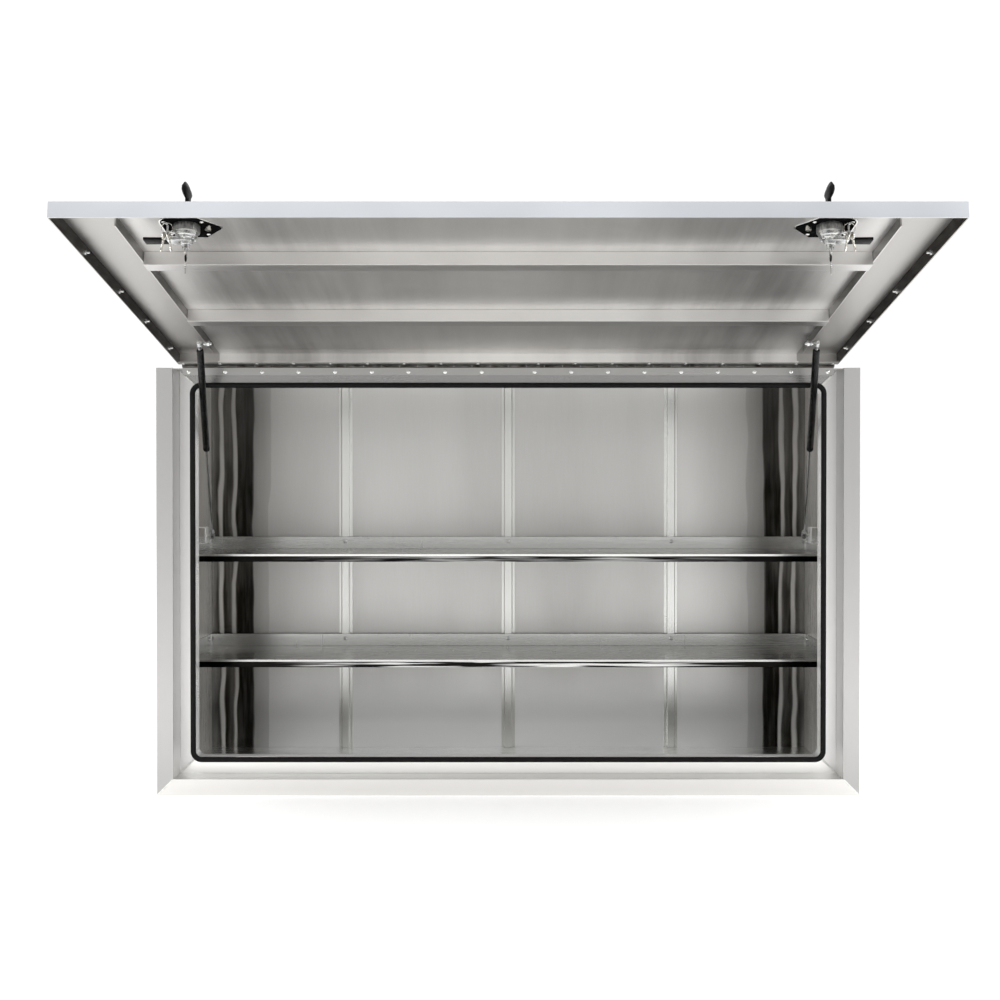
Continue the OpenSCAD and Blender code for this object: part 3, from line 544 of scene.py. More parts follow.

# %% [markdown]
# ### Hinge and webs
# The hinge leaves are sheet with painted shade round the pin, so the mask is the distance from the
# hinge's axis. The door's webs and cross members are pale, but the webs' inner faces get painted
# shade from their own flanges, and the cross members' near faces get a painted highlight.

# %% Hinge and web finishes
def hinge_finish():
    material, tree, shader, colour = rolled_aluminium("rolled_aluminium_hinge", "#B3B2B0", "#A8A7A5", 0.30, 0,
                                                      lined=0.3, scratched=0.2)
    place = place_in(tree)
    centred = add(tree, "ShaderNodeVectorMath", {0: place, 1: tuple(hinge_axis)}, operation="SUBTRACT")
    flat = add(tree, "ShaderNodeVectorMath", {0: centred.outputs["Vector"], 1: (0, 1, 1)},
               operation="MULTIPLY")
    radius = add(tree, "ShaderNodeVectorMath", {0: flat.outputs["Vector"]},
                 operation="LENGTH").outputs["Value"]
    # Painted shade: dark round the hinge pin, mottled.
    painted_knuckle_mottle = noise(tree, place, 6 * mm, (3, 1, 1), detail=3)
    amount = times(tree, spread(tree, radius, 1.0, 0.0, 3.8 * mm, 4.6 * mm), spread(tree, painted_knuckle_mottle, 0.75, 1.0))
    darken(tree, shader, colour, amount, "#26241F", 0.35)
    return material


def web_finish():
    material, tree, shader, colour = rolled_aluminium("rolled_aluminium_web", "#DAD9D7", "#CDCBC9", 0.34, 1,
                                                      lined=0.3, scratched=0.2)
    away = away_from_middle(tree)[0]
    # Painted shade on the webs' inner faces, mottled.
    painted_mottle = noise(tree, place_in(tree), 12 * mm, (1, 6, 1), detail=3)
    amount = times(tree, at_level(tree, away, web_inner), spread(tree, painted_mottle, 0.62, 0.85))
    # Painted highlight: the cross members' near faces are whiter and less metallic.
    reach = along_door(tree, (0, 0, -1))
    near_faces = [at_level(tree, reach, -corners_in(cross, door)[1].z)
                  for cross in ("door_cross_front", "door_cross_rear")]
    lifted = greater_of(tree, *near_faces)
    pale = blend_colours(tree, lifted, colour, "#FFFFFF")
    tree.links.new(spread(tree, lifted, 1.0, 0.25, 0.0, 1.0), shader.inputs["Metallic"])
    darken(tree, shader, pale, amount, "#35302A", 0.3)
    return material


hinge_sheet = hinge_finish()
web_sheet = web_finish()
print("hinge and web finishes: 2")

# %% [markdown]
# ### Front frame and outer faces
# The frame's outer flange and its set-back landing catch the light differently, so they get two
# painted tones with a step between them. The outsides of the walls show none of the inside's painted marks,
# and get a darker plain tone, which is painted shade.

# %% Frame finishes and outer faces
def frame_finish(name, flange_tone, landing_tone, grain_axis):
    material, tree, shader, colour = rolled_aluminium(name, landing_tone, landing_tone, 0.30, grain_axis,
                                                      lined=0.3,
                                                      scratched=0)
    split = away_from_middle(tree)[1]
    front = levels("front_frame_bottom", 1)[0]
    amount = spread(tree, split.outputs["Y"], 1.0, 0.0, front + 3 * mm, front + 5 * mm)
    darken(tree, shader, colour, amount, flange_tone, 0.30)
    return material


def tone_outer_face(finish, axis, level):
    """Gives the outside of a wall one plain, darker tone, which is painted shade."""
    tree = finish.node_tree
    shader = tree.nodes["Principled BSDF"]
    away = away_from_middle(tree, axis)[0]
    colour = shader.inputs["Base Color"].links[0].from_socket
    darken(tree, shader, colour, spread(tree, away, 0.0, 1.0, level - 0.9 * mm, level - 0.5 * mm), "#ABABAA",
           0.3)


frame_sheet = frame_finish("rolled_aluminium_frame_side", "#B9B8B7", "#DDDCDB", 2)
sill_sheet = frame_finish("rolled_aluminium_sill", "#E9E7E4", "#FBFAF8", 0)
# Painted shade: darker plain tones on the outsides of the back, side and roof sheet.
tone_outer_face(back_sheet, "Y", corners_in("back_panel")[1].y)
tone_outer_face(side_sheet, "X", corners_in("side_panel_right")[1].x)
tone_outer_face(sheet_across, "Z", corners_in("roof_panel")[1].z)
print("frame finishes: 2, and plain outsides on the back, side and roof sheet")

# %% [markdown]
# ### Fittings
# The other finishes are small areas, each with one telling detail: EPDM rubber has a dusty matt
# skin, powder coat has orange peel, moulded nylon a fine spark-eroded texture, zinc plate a faint
# yellow-blue cloud, hard chrome is nearly a mirror, and an aluminium weld bead is frosted where
# the arc cleaned it.

# %% Fittings finishes
def fitting_finish(name, light, dark, rough, metallic, grain, bump, grain_stretch=(1, 1, 1),
                   cloud_size=8 * mm,
                   gloss=0.5):
    """A finish with a cloudy colour, an uneven roughness and a grain of its own size."""
    material, tree, shader, place = new_finish(name)
    cloud = noise(tree, place, cloud_size, detail=3)
    texture = noise(tree, place, grain, grain_stretch, detail=2)
    tree.links.new(blend_colours(tree, spread(tree, cloud, 0, 1), light, dark), shader.inputs["Base Color"])
    tree.links.new(spread(tree, texture, rough * 0.8, rough * 1.2), shader.inputs["Roughness"])
    shader.inputs["Metallic"].default_value = metallic
    shader.inputs["Specular IOR Level"].default_value = gloss
    relief = add(tree, "ShaderNodeBump", {"Height": texture, "Distance": bump, "Strength": 1.0})
    tree.links.new(relief.outputs["Normal"], shader.inputs["Normal"])
    return material


epdm_rubber = fitting_finish("extruded_epdm_rubber", "#0D0D0D", "#141413", 0.55, 0, 0.9 * mm, 0.03 * mm,
                             gloss=0.1)
plate_black = fitting_finish("gloss_black_lacquer", "#0B0B0B", "#111111", 0.30, 0, 1.5 * mm, 0.01 * mm,
                             gloss=0.0)
powder_coat = fitting_finish("black_powder_coat", "#0F0F0F", "#151515", 0.34, 0, 1.2 * mm, 0.03 * mm,
                             gloss=0.05)
tube_paint = fitting_finish("black_enamelled_tube", "#0C0C0C", "#111111", 0.25, 0, 2.5 * mm, 0.01 * mm,
                            gloss=0.2)
nylon = fitting_finish("moulded_black_nylon", "#0C0C0C", "#131313", 0.42, 0, 0.5 * mm, 0.02 * mm, gloss=0.08)
# The strut brackets' white, nearly non-metal zinc is a painted highlight that makes them read bright.
bright_zinc = fitting_finish("white_zinc_painted_highlight", "#FFFFFF", "#F4F4F2", 0.45, 0.1, 0.8 * mm, 0.01 * mm)
zinc_plate = fitting_finish("bright_zinc_plated_steel", "#DFDFDC", "#B9BBBD", 0.26, 1, 0.8 * mm, 0.01 * mm)
cast_zinc = fitting_finish("die_cast_zinc", "#B5B5B3", "#8F8F8D", 0.38, 1, 0.8 * mm, 0.03 * mm)
hard_chrome = fitting_finish("ground_hard_chrome", "#E4E5E7", "#D2D3D6", 0.08, 1, 0.3 * mm, 0.001 * mm,
                             (1, 1, 12))
nickel = fitting_finish("nickel_plated_brass", "#DAD8D2", "#BEBBB3", 0.18, 1, 0.6 * mm, 0.01 * mm)
rivet_metal = fitting_finish("domed_aluminium_rivet", "#F0F0EE", "#D6D6D4", 0.24, 1, 0.5 * mm, 0.01 * mm)
weld_metal = fitting_finish("as_welded_aluminium", "#F4F4F1", "#DCDCD8", 0.42, 1, 0.7 * mm, 0.06 * mm)
gasket = fitting_finish("pressed_bright_trim", "#EEEEEC", "#D5D5D2", 0.22, 1, 0.8 * mm, 0.01 * mm)
print("fittings finishes: 13")

# %% [markdown]
# ## Studio
# The box stands on a plain pale floor in a white studio. Bright metal shows its surroundings
# rather than its own colour, so the studio itself is the lighting: a white room that is a little
# dimmer on the camera's side. Soft boxes overhead and at the sides give the folds their highlights.

# %% Studio
def make_floor():
    size = 30.0
    bm = bmesh.new()
    bmesh.ops.create_grid(bm, x_segments=2, y_segments=2, size=size / 2)
    material, tree, shader, place = new_finish("pale_studio_floor")
    cloud = noise(tree, place, 0.8, detail=2)
    tree.links.new(blend_colours(tree, spread(tree, cloud, 0, 1), "#F6F6F6", "#F2F2F2"),
                   shader.inputs["Base Color"])
    shader.inputs["Roughness"].default_value = 0.9
    shader.inputs["Emission Color"].default_value = (1, 1, 1, 1)
    shader.inputs["Emission Strength"].default_value = 0.25
    floor = mesh_object("studio_floor", bm, material)


def make_room():
    world = bpy.data.worlds.new("studio_room")
    bpy.context.scene.world = world
    world.use_nodes = True
    tree = world.node_tree
    tree.nodes.clear()
    look = add(tree, "ShaderNodeSeparateXYZ",
               {"Vector": add(tree, "ShaderNodeTexCoord").outputs["Generated"]})
    towards_camera = spread(tree, look.outputs["Y"], 1.0, 0.0, -0.8, -0.2)
    colour = blend_colours(tree, towards_camera, "#FFFFFF", "#DFDFDE")
    back = add(tree, "ShaderNodeBackground", {"Color": colour, "Strength": 1.05})
    add(tree, "ShaderNodeOutputWorld", {"Surface": back.outputs["Background"]})


def soft_box(name, place, target, width, height, power):
    light = bpy.data.lights.new(name, "AREA")
    light.shape = "RECTANGLE"
    light.size = width
    light.size_y = height
    light.energy = power
    lamp = bpy.data.objects.new(name, light)
    lamp.location = place
    lamp.rotation_euler = (Vector(target) - Vector(place)).to_track_quat("-Z", "Y").to_euler()
    bpy.context.scene.collection.objects.link(lamp)


make_floor()
make_room()
middle = (0, 0, 0.5)
soft_box("overhead_box", (0, -1.6, 3.4), middle, 3.0, 2.0, 60)
soft_box("left_box", (-3.2, -2.2, 1.8), middle, 1.6, 2.4, 40)
soft_box("right_box", (3.2, -2.2, 1.8), middle, 1.6, 2.4, 40)
print("studio: floor, room and 3 soft boxes")

# %% [markdown]
# ## The folded shell, frame and door
# Every sheet-metal node has the right shape already, so each gets the folded copy described
# above. Each is matched with its finish here, and the small brackets and hinge leaves get a finer
# fold. The grain is upright on the walls, and runs across on the roof, floor and shelves.

# %% Folded sheet metal
sheet_parts = {
    "side_panel_left": side_sheet, "side_panel_right": side_sheet, "back_panel": back_sheet,
    "roof_panel": sheet_across, "floor_panel": sheet_across,
    "front_frame_left": frame_sheet, "front_frame_right": frame_sheet, "front_frame_bottom": sill_sheet,
    "front_header": header_sheet, "opening_lip": lip_sheet,
    "back_stiffener_left": stiff_sheet, "back_stiffener_centre": stiff_sheet,
    "back_stiffener_right": stiff_sheet,
    "upper_shelf": upper_shelf_sheet, "lower_shelf": lower_shelf_sheet,
    "door_skin": sheet_door, "door_web_left": web_sheet, "door_web_right": web_sheet,
    "door_cross_front": web_sheet, "door_cross_rear": web_sheet,
    "hinge_leaf_body": hinge_sheet, "hinge_leaf_door": hinge_sheet,
    "strut_bracket_left": bright_zinc, "strut_bracket_right": bright_zinc,
    "door_stud_left": zinc_plate, "door_stud_right": zinc_plate,
}
fine_parts = ("strut_bracket_left", "strut_bracket_right", "door_stud_left", "door_stud_right",
              "hinge_leaf_body", "hinge_leaf_door")
for node, finish in sheet_parts.items():
    fold_sheet(node, finish, fold=0.3 * mm if node in fine_parts else 0.7 * mm)
print("folded sheet parts:", len(sheet_parts))

# %% [markdown]
# ## Rivets, screws and weld beads as rows
# Rivets and weld ripples repeat along a line, which is what Geometry Nodes is for. One tree lays
# points along a line, puts a template piece on each with a small random turn and scale, realises
# the instances and sets the material. Its inputs are the row's own sizes. Each result is turned
# into a plain mesh, and the rows of one fitting are joined into one piece.

# %% The row tree
def row_tree():
    tree = bpy.data.node_groups.new("fastener_row", "GeometryNodeTree")
    inputs = (("Count", "NodeSocketInt"), ("Start", "NodeSocketVector"), ("Step", "NodeSocketVector"),
              ("Facing", "NodeSocketVector"), ("Template", "NodeSocketObject"),
              ("Finish", "NodeSocketMaterial"),
              ("Turn", "NodeSocketFloat"), ("Uneven", "NodeSocketFloat"), ("Seed", "NodeSocketInt"))
    for name, kind in inputs:
        tree.interface.new_socket(name, in_out="INPUT", socket_type=kind)
    tree.interface.new_socket("Geometry", in_out="OUTPUT", socket_type="NodeSocketGeometry")
    given = add(tree, "NodeGroupInput").outputs
    line = add(tree, "GeometryNodeMeshLine", {"Count": given["Count"], "Start Location": given["Start"],
               "Offset": given["Step"]}, mode="OFFSET")
    template = add(tree, "GeometryNodeObjectInfo", {"Object": given["Template"]})
    least_turn = add(tree, "ShaderNodeMath", {0: given["Turn"], 1: -1.0}, operation="MULTIPLY")
    spin = add(tree, "FunctionNodeRandomValue", {2: least_turn.outputs["Value"], 3: given["Turn"],
               "Seed": given["Seed"]}, data_type="FLOAT")
    twist = add(tree, "FunctionNodeEulerToRotation",
                {"Euler": add(tree, "ShaderNodeCombineXYZ", {"Z": spin.outputs[1]}).outputs["Vector"]})
    facing = add(tree, "FunctionNodeEulerToRotation", {"Euler": given["Facing"]})
    turned = add(tree, "FunctionNodeRotateRotation", {"Rotation": facing.outputs["Rotation"],
                 "Rotate By": twist.outputs["Rotation"]}, rotation_space="LOCAL")
    smallest = add(tree, "ShaderNodeMath", {0: 1.0, 1: given["Uneven"]}, operation="SUBTRACT")
    scale = add(tree, "FunctionNodeRandomValue", {2: smallest.outputs["Value"], 3: 1.0,
                                                  "Seed": given["Seed"]},
                data_type="FLOAT")
    placed = add(tree, "GeometryNodeInstanceOnPoints", {"Points": line.outputs["Mesh"],
                 "Instance": template.outputs["Geometry"], "Rotation": turned.outputs["Rotation"],
                 "Scale": scale.outputs[1]})
    real = add(tree, "GeometryNodeRealizeInstances", {"Geometry": placed.outputs["Instances"]})
    finished = add(tree, "GeometryNodeSetMaterial", {"Geometry": real.outputs["Geometry"],
                   "Material": given["Finish"]})
    add(tree, "NodeGroupOutput", {"Geometry": finished.outputs["Geometry"]})
    return tree


fastener_row = row_tree()
socket_of = {item.name: item.identifier for item in fastener_row.interface.items_tree
             if item.in_out == "INPUT"}


def row_mesh(values):
    """The mesh of one row. The modifier's inputs are set by identifier before it is evaluated."""
    carrier = bpy.data.objects.new("row_carrier", bpy.data.meshes.new("row_carrier"))
    bpy.context.scene.collection.objects.link(carrier)
    modifier = carrier.modifiers.new("row", "NODES")
    modifier.node_group = fastener_row
    for name, value in values.items():
        modifier[socket_of[name]] = value
    graph = bpy.context.evaluated_depsgraph_get()
    mesh = bpy.data.meshes.new_from_object(carrier.evaluated_get(graph))
    carrier.modifiers.remove(modifier)
    bpy.data.objects.remove(carrier)
    return mesh


def make_rows(name, template, finish, rows, body, stands_for=(), turn=math.pi, uneven=0.03):
    """Joins rows of (start, step, count, facing matrix) into one piece that rides on a body."""
    bm = bmesh.new()
    for seed, (start, step, count, facing) in enumerate(rows):
        values = {"Count": count, "Start": tuple(start), "Step": tuple(step),
                  "Facing": tuple(facing.to_euler()),
                  "Template": template, "Finish": finish, "Turn": turn, "Uneven": uneven, "Seed": seed}
        bm.from_mesh(row_mesh(values))
    piece = mesh_object(name, bm, finish, smooth_angle=40)
    if stands_for:
        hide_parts(*stands_for)
    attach(piece, body)
    print(name, sum(row[2] for row in rows), "pieces")
    return piece


def turned_template(name, profile, turns=24):
    """A lathe-turned head that a row repeats. It is removed once its row is made."""
    bm = bmesh.new()
    add_lathe(bm, profile, turns=turns)
    return mesh_object(name, bm, rivet_metal, smooth_angle=40)


# %% [markdown]
# ### Pop rivets of the hinge
# The piano hinge is held by blind rivets: a domed flange with the broken mandrel showing in a
# small pit at its centre. Their count and pitch come from the CAD rows.

# %% Hinge rivets
def rivet_profile(radius, height):
    pit = radius * 0.30
    dome = [(radius * math.cos(a), height * (0.15 + 0.85 * math.sin(a)))
            for a in [math.radians(d) for d in (0, 15, 30, 45, 58, 68)]]
    return [(radius * 0.98, 0)] + dome + [(pit, height), (pit * 0.85, height * 0.72),
                                          (pit * 0.5, height * 0.70),
                                          (0, height * 0.86)]


def row_of(node, matrix):
    """Start, pitch, count and head size of a row of round heads along x, one side of the middle."""
    grid, between_heads = 0.5 * mm, 4 * mm
    back = matrix.inverted()
    cells = {round((back @ vertex.co).x / grid) for vertex in frame["nodes"][node].data.vertices}
    heads = []
    for x in sorted(cell * grid for cell in cells):
        if heads and x - heads[-1][-1] < between_heads:
            heads[-1].append(x)
        else:
            heads.append([x])
    middles = [(group[0] + group[-1]) / 2 for group in heads if (group[0] + group[-1]) / 2 > 0]
    low, high = corners_in(node, matrix)
    return middles[0], middles[1] - middles[0], len(middles), low, high


def hinge_rivets(name, node, matrix, facing_turn):
    start, pitch, count, low, high = row_of(node, matrix)
    radius = (high.z - low.z) / 2
    height = high.y - low.y
    template = turned_template("rivet_template", rivet_profile(radius, height))
    facing = matrix.to_3x3() @ Matrix.Rotation(facing_turn, 3, "X")
    seat_y = low.y if facing_turn < 0 else high.y
    rows = []
    for side in (1, -1):
        first = matrix @ Vector((side * start, seat_y, (low.z + high.z) / 2))
        rows.append((first, Vector((side * pitch, 0, 0)), count, facing))
    make_rows(name, template, rivet_metal, rows, body_of[node], (node,))
    bpy.data.objects.remove(template)


hinge_rivets("body_rivet_row", "body_hinge_rivets", Matrix.Identity(4), math.pi / 2)
hinge_rivets("door_rivet_row", "door_hinge_rivets", door, -math.pi / 2)

# %% [markdown]
# ### Pan-head screws
# The shelves are held by pan-head screws with a cross recess, through the upstands into the
# stiffeners and the side walls. The head is a stack of rings of points, and the points of the
# inner rings that lie in the cross are sunk, which makes the recess without a cut.

# %% Shelf screws
def pan_head(radius, height):
    """A pan head with a cross recess: rings of points whose inner ones drop inside the cross."""
    turns, slot_half, slot_reach, slot_depth = 32, 0.13, 0.5, 0.55
    profile = [(1.0, 0.0), (1.0, 0.45), (0.93, 0.75), (0.78, 0.95), (0.60, 1.0), (0.44, 1.0), (0.34, 1.0),
               (0.18, 1.0)]
    rings = []
    for share, rise in profile:
        ring = []
        for i in range(turns):
            angle = 2 * math.pi * i / turns
            off_slot = min(abs(math.cos(angle)), abs(math.sin(angle))) * share
            depth = slot_depth if off_slot < slot_half and share < slot_reach else 0.0
            ring.append((radius * share * math.cos(angle), radius * share * math.sin(angle),
                         height * (rise - depth)))
        rings.append(ring)
    bm = bmesh.new()
    add_sweep(bm, rings)
    return mesh_object("pan_head_template", bm, zinc_plate, smooth_angle=40)


def shelf_screws():
    high = corners_in("shelf_screws")[1]
    points = [v.co for v in frame["nodes"]["shelf_screws"].data.vertices]
    shelf_zs = [corners_in(shelf)[0].z for shelf in ("upper_shelf", "lower_shelf")]
    stiff_x = corners_in("back_stiffener_right")[0].x + corners_in("back_stiffener_right")[1].x
    head, rise, upstand = 4.7 * mm, 2.3 * mm, 60 * mm
    rows = []
    for shelf_z in shelf_zs:
        near = [p for p in points if 0 < p.z - shelf_z < upstand]
        z = (min(p.z for p in near) + max(p.z for p in near)) / 2
        rows.append((Vector((-stiff_x / 2, high.y, z)), Vector((stiff_x / 2, 0, 0)), 3,
                     Matrix.Rotation(math.pi / 2, 3, "X")))
        side_ys = sorted({round(p.y, 3) for p in near if abs(p.x) > high.x - rise})
        first_y, last_y = side_ys[0] + head, side_ys[-1] - head
        for side in (1, -1):
            rows.append((Vector((side * high.x, first_y, z)), Vector((0, last_y - first_y, 0)), 2,
                         Matrix.Rotation(-side * math.pi / 2, 3, "Y")))
    template = pan_head(head, rise)
    make_rows("shelf_screw_rows", template, zinc_plate, rows, "box", ("shelf_screws",))
    bpy.data.objects.remove(template)


shelf_screws()

# %% [markdown]
# ### Weld beads
# The frame's mitres are TIG welded. Such a bead is a row of overlapping ripples, like a stack of
# dimes, so each bead is a row of flattened domes a third of their width apart. The joints run
# corner to corner, between levels that are measured on the frame's own parts.

# %% Weld beads
def weld_ripple(width, pitch, height):
    bm = bmesh.new()
    rings, turns = 4, 14
    rows = []
    for k in range(rings + 1):
        rise = math.sin(math.pi / 2 * k / rings)
        spread_out = math.cos(math.pi / 2 * k / rings)
        if k == rings:
            rows.append([bm.verts.new((pitch * 0.5, 0, height))])
        else:
            rows.append([bm.verts.new((pitch * 1.5 * spread_out * math.cos(a) + pitch * 0.5 * rise,
                                       width / 2 * spread_out * math.sin(a), height * rise))
                         for a in [2 * math.pi * i / turns for i in range(turns)]])
    for low, high in zip(rows, rows[1:]):
        for i in range(turns):
            j = (i + 1) % turns
            bm.faces.new((low[i], low[j], high[0]) if len(high) == 1 else (low[i], low[j], high[j], high[i]))
    bm.faces.new(rows[0])
    return mesh_object("weld_ripple_template", bm, weld_metal)


def bead_row(start, end, pitch, out=Vector((0, -1, 0))):
    run = end - start
    count = max(2, int(run.length / pitch))
    facing = Matrix((run.normalized(), out.cross(run).normalized(), out)).transposed()
    return start, run / count, count + 1, facing


frame_x = levels("front_frame_right", 0)
front_y = levels("front_frame_right", 1)[0]
land_y = levels("front_frame_right", 1)[-2]
header_y = levels("front_header", 1)[0]
outer_x = frame_x[-1]
flange_x = [x for x in frame_x if outer_x - x > 0.02][-1]
flange_w = outer_x - flange_x
lip_box = corners_in("opening_lip")
opening_x, opening_low, opening_high = lip_box[1].x, lip_box[0].z, lip_box[1].z
leaf_low = corners_in("hinge_leaf_body")[0].z
bead_w, bead_h = 4.4 * mm, 0.8 * mm
ripple = 1.5 * mm
template = weld_ripple(bead_w, ripple, bead_h)
beads = []
for side in (-1, 1):
    mitre = [Vector((side * (outer_x - bead_w / 2), front_y, bead_w / 2)),
             Vector((side * flange_x, front_y, flange_w))]
    landing = [Vector((side * (flange_x - bead_w / 2), land_y, flange_w + bead_w / 2)),
               Vector((side * (opening_x + bead_w / 2), land_y, opening_low - bead_w / 2))]
    rise = leaf_low - opening_high - bead_w
    top = [Vector((side * (opening_x + 1 * mm), header_y, opening_high + bead_w / 2)),
           Vector((side * (opening_x + rise), header_y, opening_high + rise))]
    beads += [bead_row(*mitre, ripple), bead_row(*landing, ripple), bead_row(*top, ripple)]
make_rows("weld_bead_rows", template, weld_metal, beads, "box", ("corner_welds",), turn=0.25, uneven=0.2)
bpy.data.objects.remove(template)

# %% [markdown]
# ## Door seal
# The seal is an extruded EPDM profile pushed onto the lip, with its bulb towards the door. The real
# one is likely hollow, but only its outside is seen, so this is one solid section: a round bulb and
# one leg down the outer side of the lip. It is swept round the opening, with the corners turned
# through small arcs.

# %% Door seal
def seal_section(bulb, offset, wall, gap, depth):
    """Points of the section: x outwards across the lip, y back from the bulb's front."""
    radius = bulb / 2
    inside, outside = gap / 2, gap / 2 + wall
    points = [(offset + radius * math.cos(a), radius + radius * math.sin(a))
              for a in [math.radians(d) for d in range(60, -241, -12)]]
    return points + [(-inside - 0.5 * mm, bulb * 0.93), (inside, bulb * 0.96), (inside, depth),
                     (outside - 0.5 * mm, depth), (outside + 0.3 * mm, depth - 0.8 * mm),
                     (outside + 0.3 * mm, bulb * 1.15), (outside, bulb * 1.02)]


def make_seal():
    low, high = corners_in("door_seal")
    lip_low, lip_high = lip_box
    full = (high.z - low.z) - (lip_high.z - lip_low.z) + sheet
    bulb_share = 0.88
    bulb = full * bulb_share
    section = seal_section(bulb, (full - bulb) / 2, 2 * mm, sheet, high.y - low.y)
    corner = 16 * mm + sheet / 2
    mid_x, mid_low, mid_high = lip_high.x - sheet / 2, lip_low.z + sheet / 2, lip_high.z - sheet / 2
    rings = []
    steps = 10
    centres = [(mid_x - corner, mid_high - corner, 0), (-mid_x + corner, mid_high - corner, 90),
               (-mid_x + corner, mid_low + corner, 180), (mid_x - corner, mid_low + corner, 270)]
    for centre_x, centre_z, first in centres:
        for k in range(steps + 1):
            angle = math.radians(first + 90 * k / steps)
            out = Vector((math.cos(angle), 0, math.sin(angle)))
            middle = Vector((centre_x, low.y, centre_z)) + out * corner
            rings.append([middle + out * x + Vector((0, y, 0)) for x, y in section])
    bm = bmesh.new()
    add_sweep(bm, rings, closed=True)
    seal = mesh_object("door_seal_profile", bm, epdm_rubber, smooth_angle=45)
    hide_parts("door_seal")
    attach(seal, "box")
    print("seal: bulb", round(bulb / mm, 1), "mm")


make_seal()

# %% [markdown]
# ## Gas struts
# A gas strut is a painted tube with a ground and chromed rod, and a ball socket screwed on each
# end. The tube is rolled in over the gland, which leaves a rounded end with a groove just above
# it, and its far end is swaged to a plug. All of it is lathe work along the line between the two
# ball centres, which the slide joint gives.

# %% Struts
def make_strut(name):
    foot = pivot("strut_swing_" + name)
    towards_door = -Vector(joints["strut_slide_" + name]["axis"])
    line = along(foot, foot + towards_door)
    low, high = corners_in("strut_tube_" + name, line)
    start, end, radius = low.z, high.z, high.x
    bore, gland = radius - 1 * mm, 12 * mm
    rod_low, rod_high = corners_in("strut_rod_" + name, line)
    rod = 3 * mm
    collar = [(radius - 1.9 * mm, start), (radius - 0.6 * mm, start + 0.5 * mm), (radius, start + 2 * mm)]
    groove = [(radius, start + 9.5 * mm), (radius - 0.7 * mm, start + 10.4 * mm),
              (radius - 0.7 * mm, start + 11.4 * mm), (radius, start + 12.3 * mm)]
    crown = [(radius, end - 5 * mm), (radius - 0.9 * mm, end - 1.6 * mm), (radius - 2.6 * mm, end - 0.3 * mm),
             (0, end)]
    inside = [(0, end - 4 * mm), (bore, end - 4 * mm), (bore, start + gland),
              (rod + 0.05 * mm, start + gland),
              (rod + 0.05 * mm, start)]
    bm = bmesh.new()
    add_lathe(bm, collar + groove + crown, line)
    bm.faces.ensure_lookup_table()
    add_lathe(bm, inside + collar[:1], line)
    tube = mesh_object("strut_tube_" + name + "_turned", bm, tube_paint, smooth_angle=50)
    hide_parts("strut_tube_" + name)
    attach(tube, "strut_tube_" + name)

    piston = rod_high.x
    bm = bmesh.new()
    add_lathe(bm, [(0, rod_low.z), (rod - 0.4 * mm, rod_low.z), (rod, rod_low.z + 0.5 * mm),
                   (rod, rod_high.z - 8 * mm), (piston, rod_high.z - 8 * mm), (piston, rod_high.z),
                   (0, rod_high.z)], line, turns=32)
    rod_piece = mesh_object("strut_rod_" + name + "_ground", bm, hard_chrome, smooth_angle=50)
    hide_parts("strut_rod_" + name)
    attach(rod_piece, "strut_rod_" + name)

    head_low, head_high = corners_in("strut_head_" + name, line)
    barrel, top = head_high.x, head_high.z
    seat = top - 2 * barrel
    bm = bmesh.new()
    add_lathe(bm, [(0, head_low.z - 1 * mm), (2.6 * mm, head_low.z - 1 * mm), (2.6 * mm, head_low.z + 1 * mm),
                   (3.9 * mm, head_low.z + 1.4 * mm), (3.9 * mm, seat - 2.5 * mm), (barrel - 0.9 * mm, seat),
                   (barrel, seat + 1.2 * mm), (barrel, seat + barrel * 0.7),
                   (barrel - 0.6 * mm, seat + barrel * 0.8),
                   (barrel - 0.6 * mm, seat + barrel * 1.1), (barrel, seat + barrel * 1.2),
                   (barrel, top - 1.4 * mm), (barrel - 1.2 * mm, top - 0.3 * mm), (0, top)], line, turns=32)
    head = mesh_object("strut_head_" + name + "_socket", bm, zinc_plate, smooth_angle=40)
    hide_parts("strut_head_" + name)
    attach(head, "strut_tube_" + name)


for name in ("left", "right"):
    make_strut(name)
    fold_sheet("strut_foot_" + name, zinc_plate, fold=0.25 * mm)
print("struts: 2, each tube, rod, head and foot")

# %% [markdown]
# ## Folding T-handle locks
# Each lock is two leaf-shaped plates that clamp the door skin: a dished outer one with the handle
# and the key barrel, and an inner one with a bright pressed edge. A die-cast cup passes through
# the skin and carries the shaft, whose hub and flat tongue catch behind the frame. In the lock's
# own frame x points outwards from the middle of the door, and heights are the door's n.

# %% Lock frame and outline
lock_centre = door.inverted() @ pivot("lock_turn_right")


def lock_frame(side):
    """Local x outwards, local y minus the height n, local z towards the hinge."""
    return door @ Matrix.Scale(side, 4, (1, 0, 0)) @ Matrix.Translation((lock_centre.x, 0, lock_centre.z))


def turned_on(side, x=0, z=0):
    """A frame for lathe work square to the door: its local z is the height n."""
    return lock_frame(side) @ Matrix.Translation((x, 0, z)) @ Matrix.Rotation(math.pi / 2, 4, "X")


plate_low, plate_high = corners_in("lock_backplate_right", lock_frame(1))
plate_half, plate_mid = (plate_high.z - plate_low.z) / 2, (plate_high.z + plate_low.z) / 2
shoulder, corner, nose = 22 * mm, 24 * mm, 5 * mm


def lock_outline(grow=0.0):
    """The leaf outline in x and z: arcs at the two outer corners, straight sides to the nose."""
    points = []
    round_x = plate_high.x - corner
    for z, first in ((-1, -90), (1, 0)):
        points += [(round_x + (corner + grow) * math.cos(math.radians(a)),
                    plate_mid + z * (plate_half - corner) + (corner + grow) * math.sin(math.radians(a)))
                   for a in range(first, first + 91, 10)]
    for x, half in ((-shoulder, plate_half + grow), (plate_low.x - grow, nose)):
        points.append((x, plate_mid + half))
    for x, half in ((plate_low.x - grow, nose), (-shoulder, plate_half + grow)):
        points.append((x, plate_mid - half))
    return points


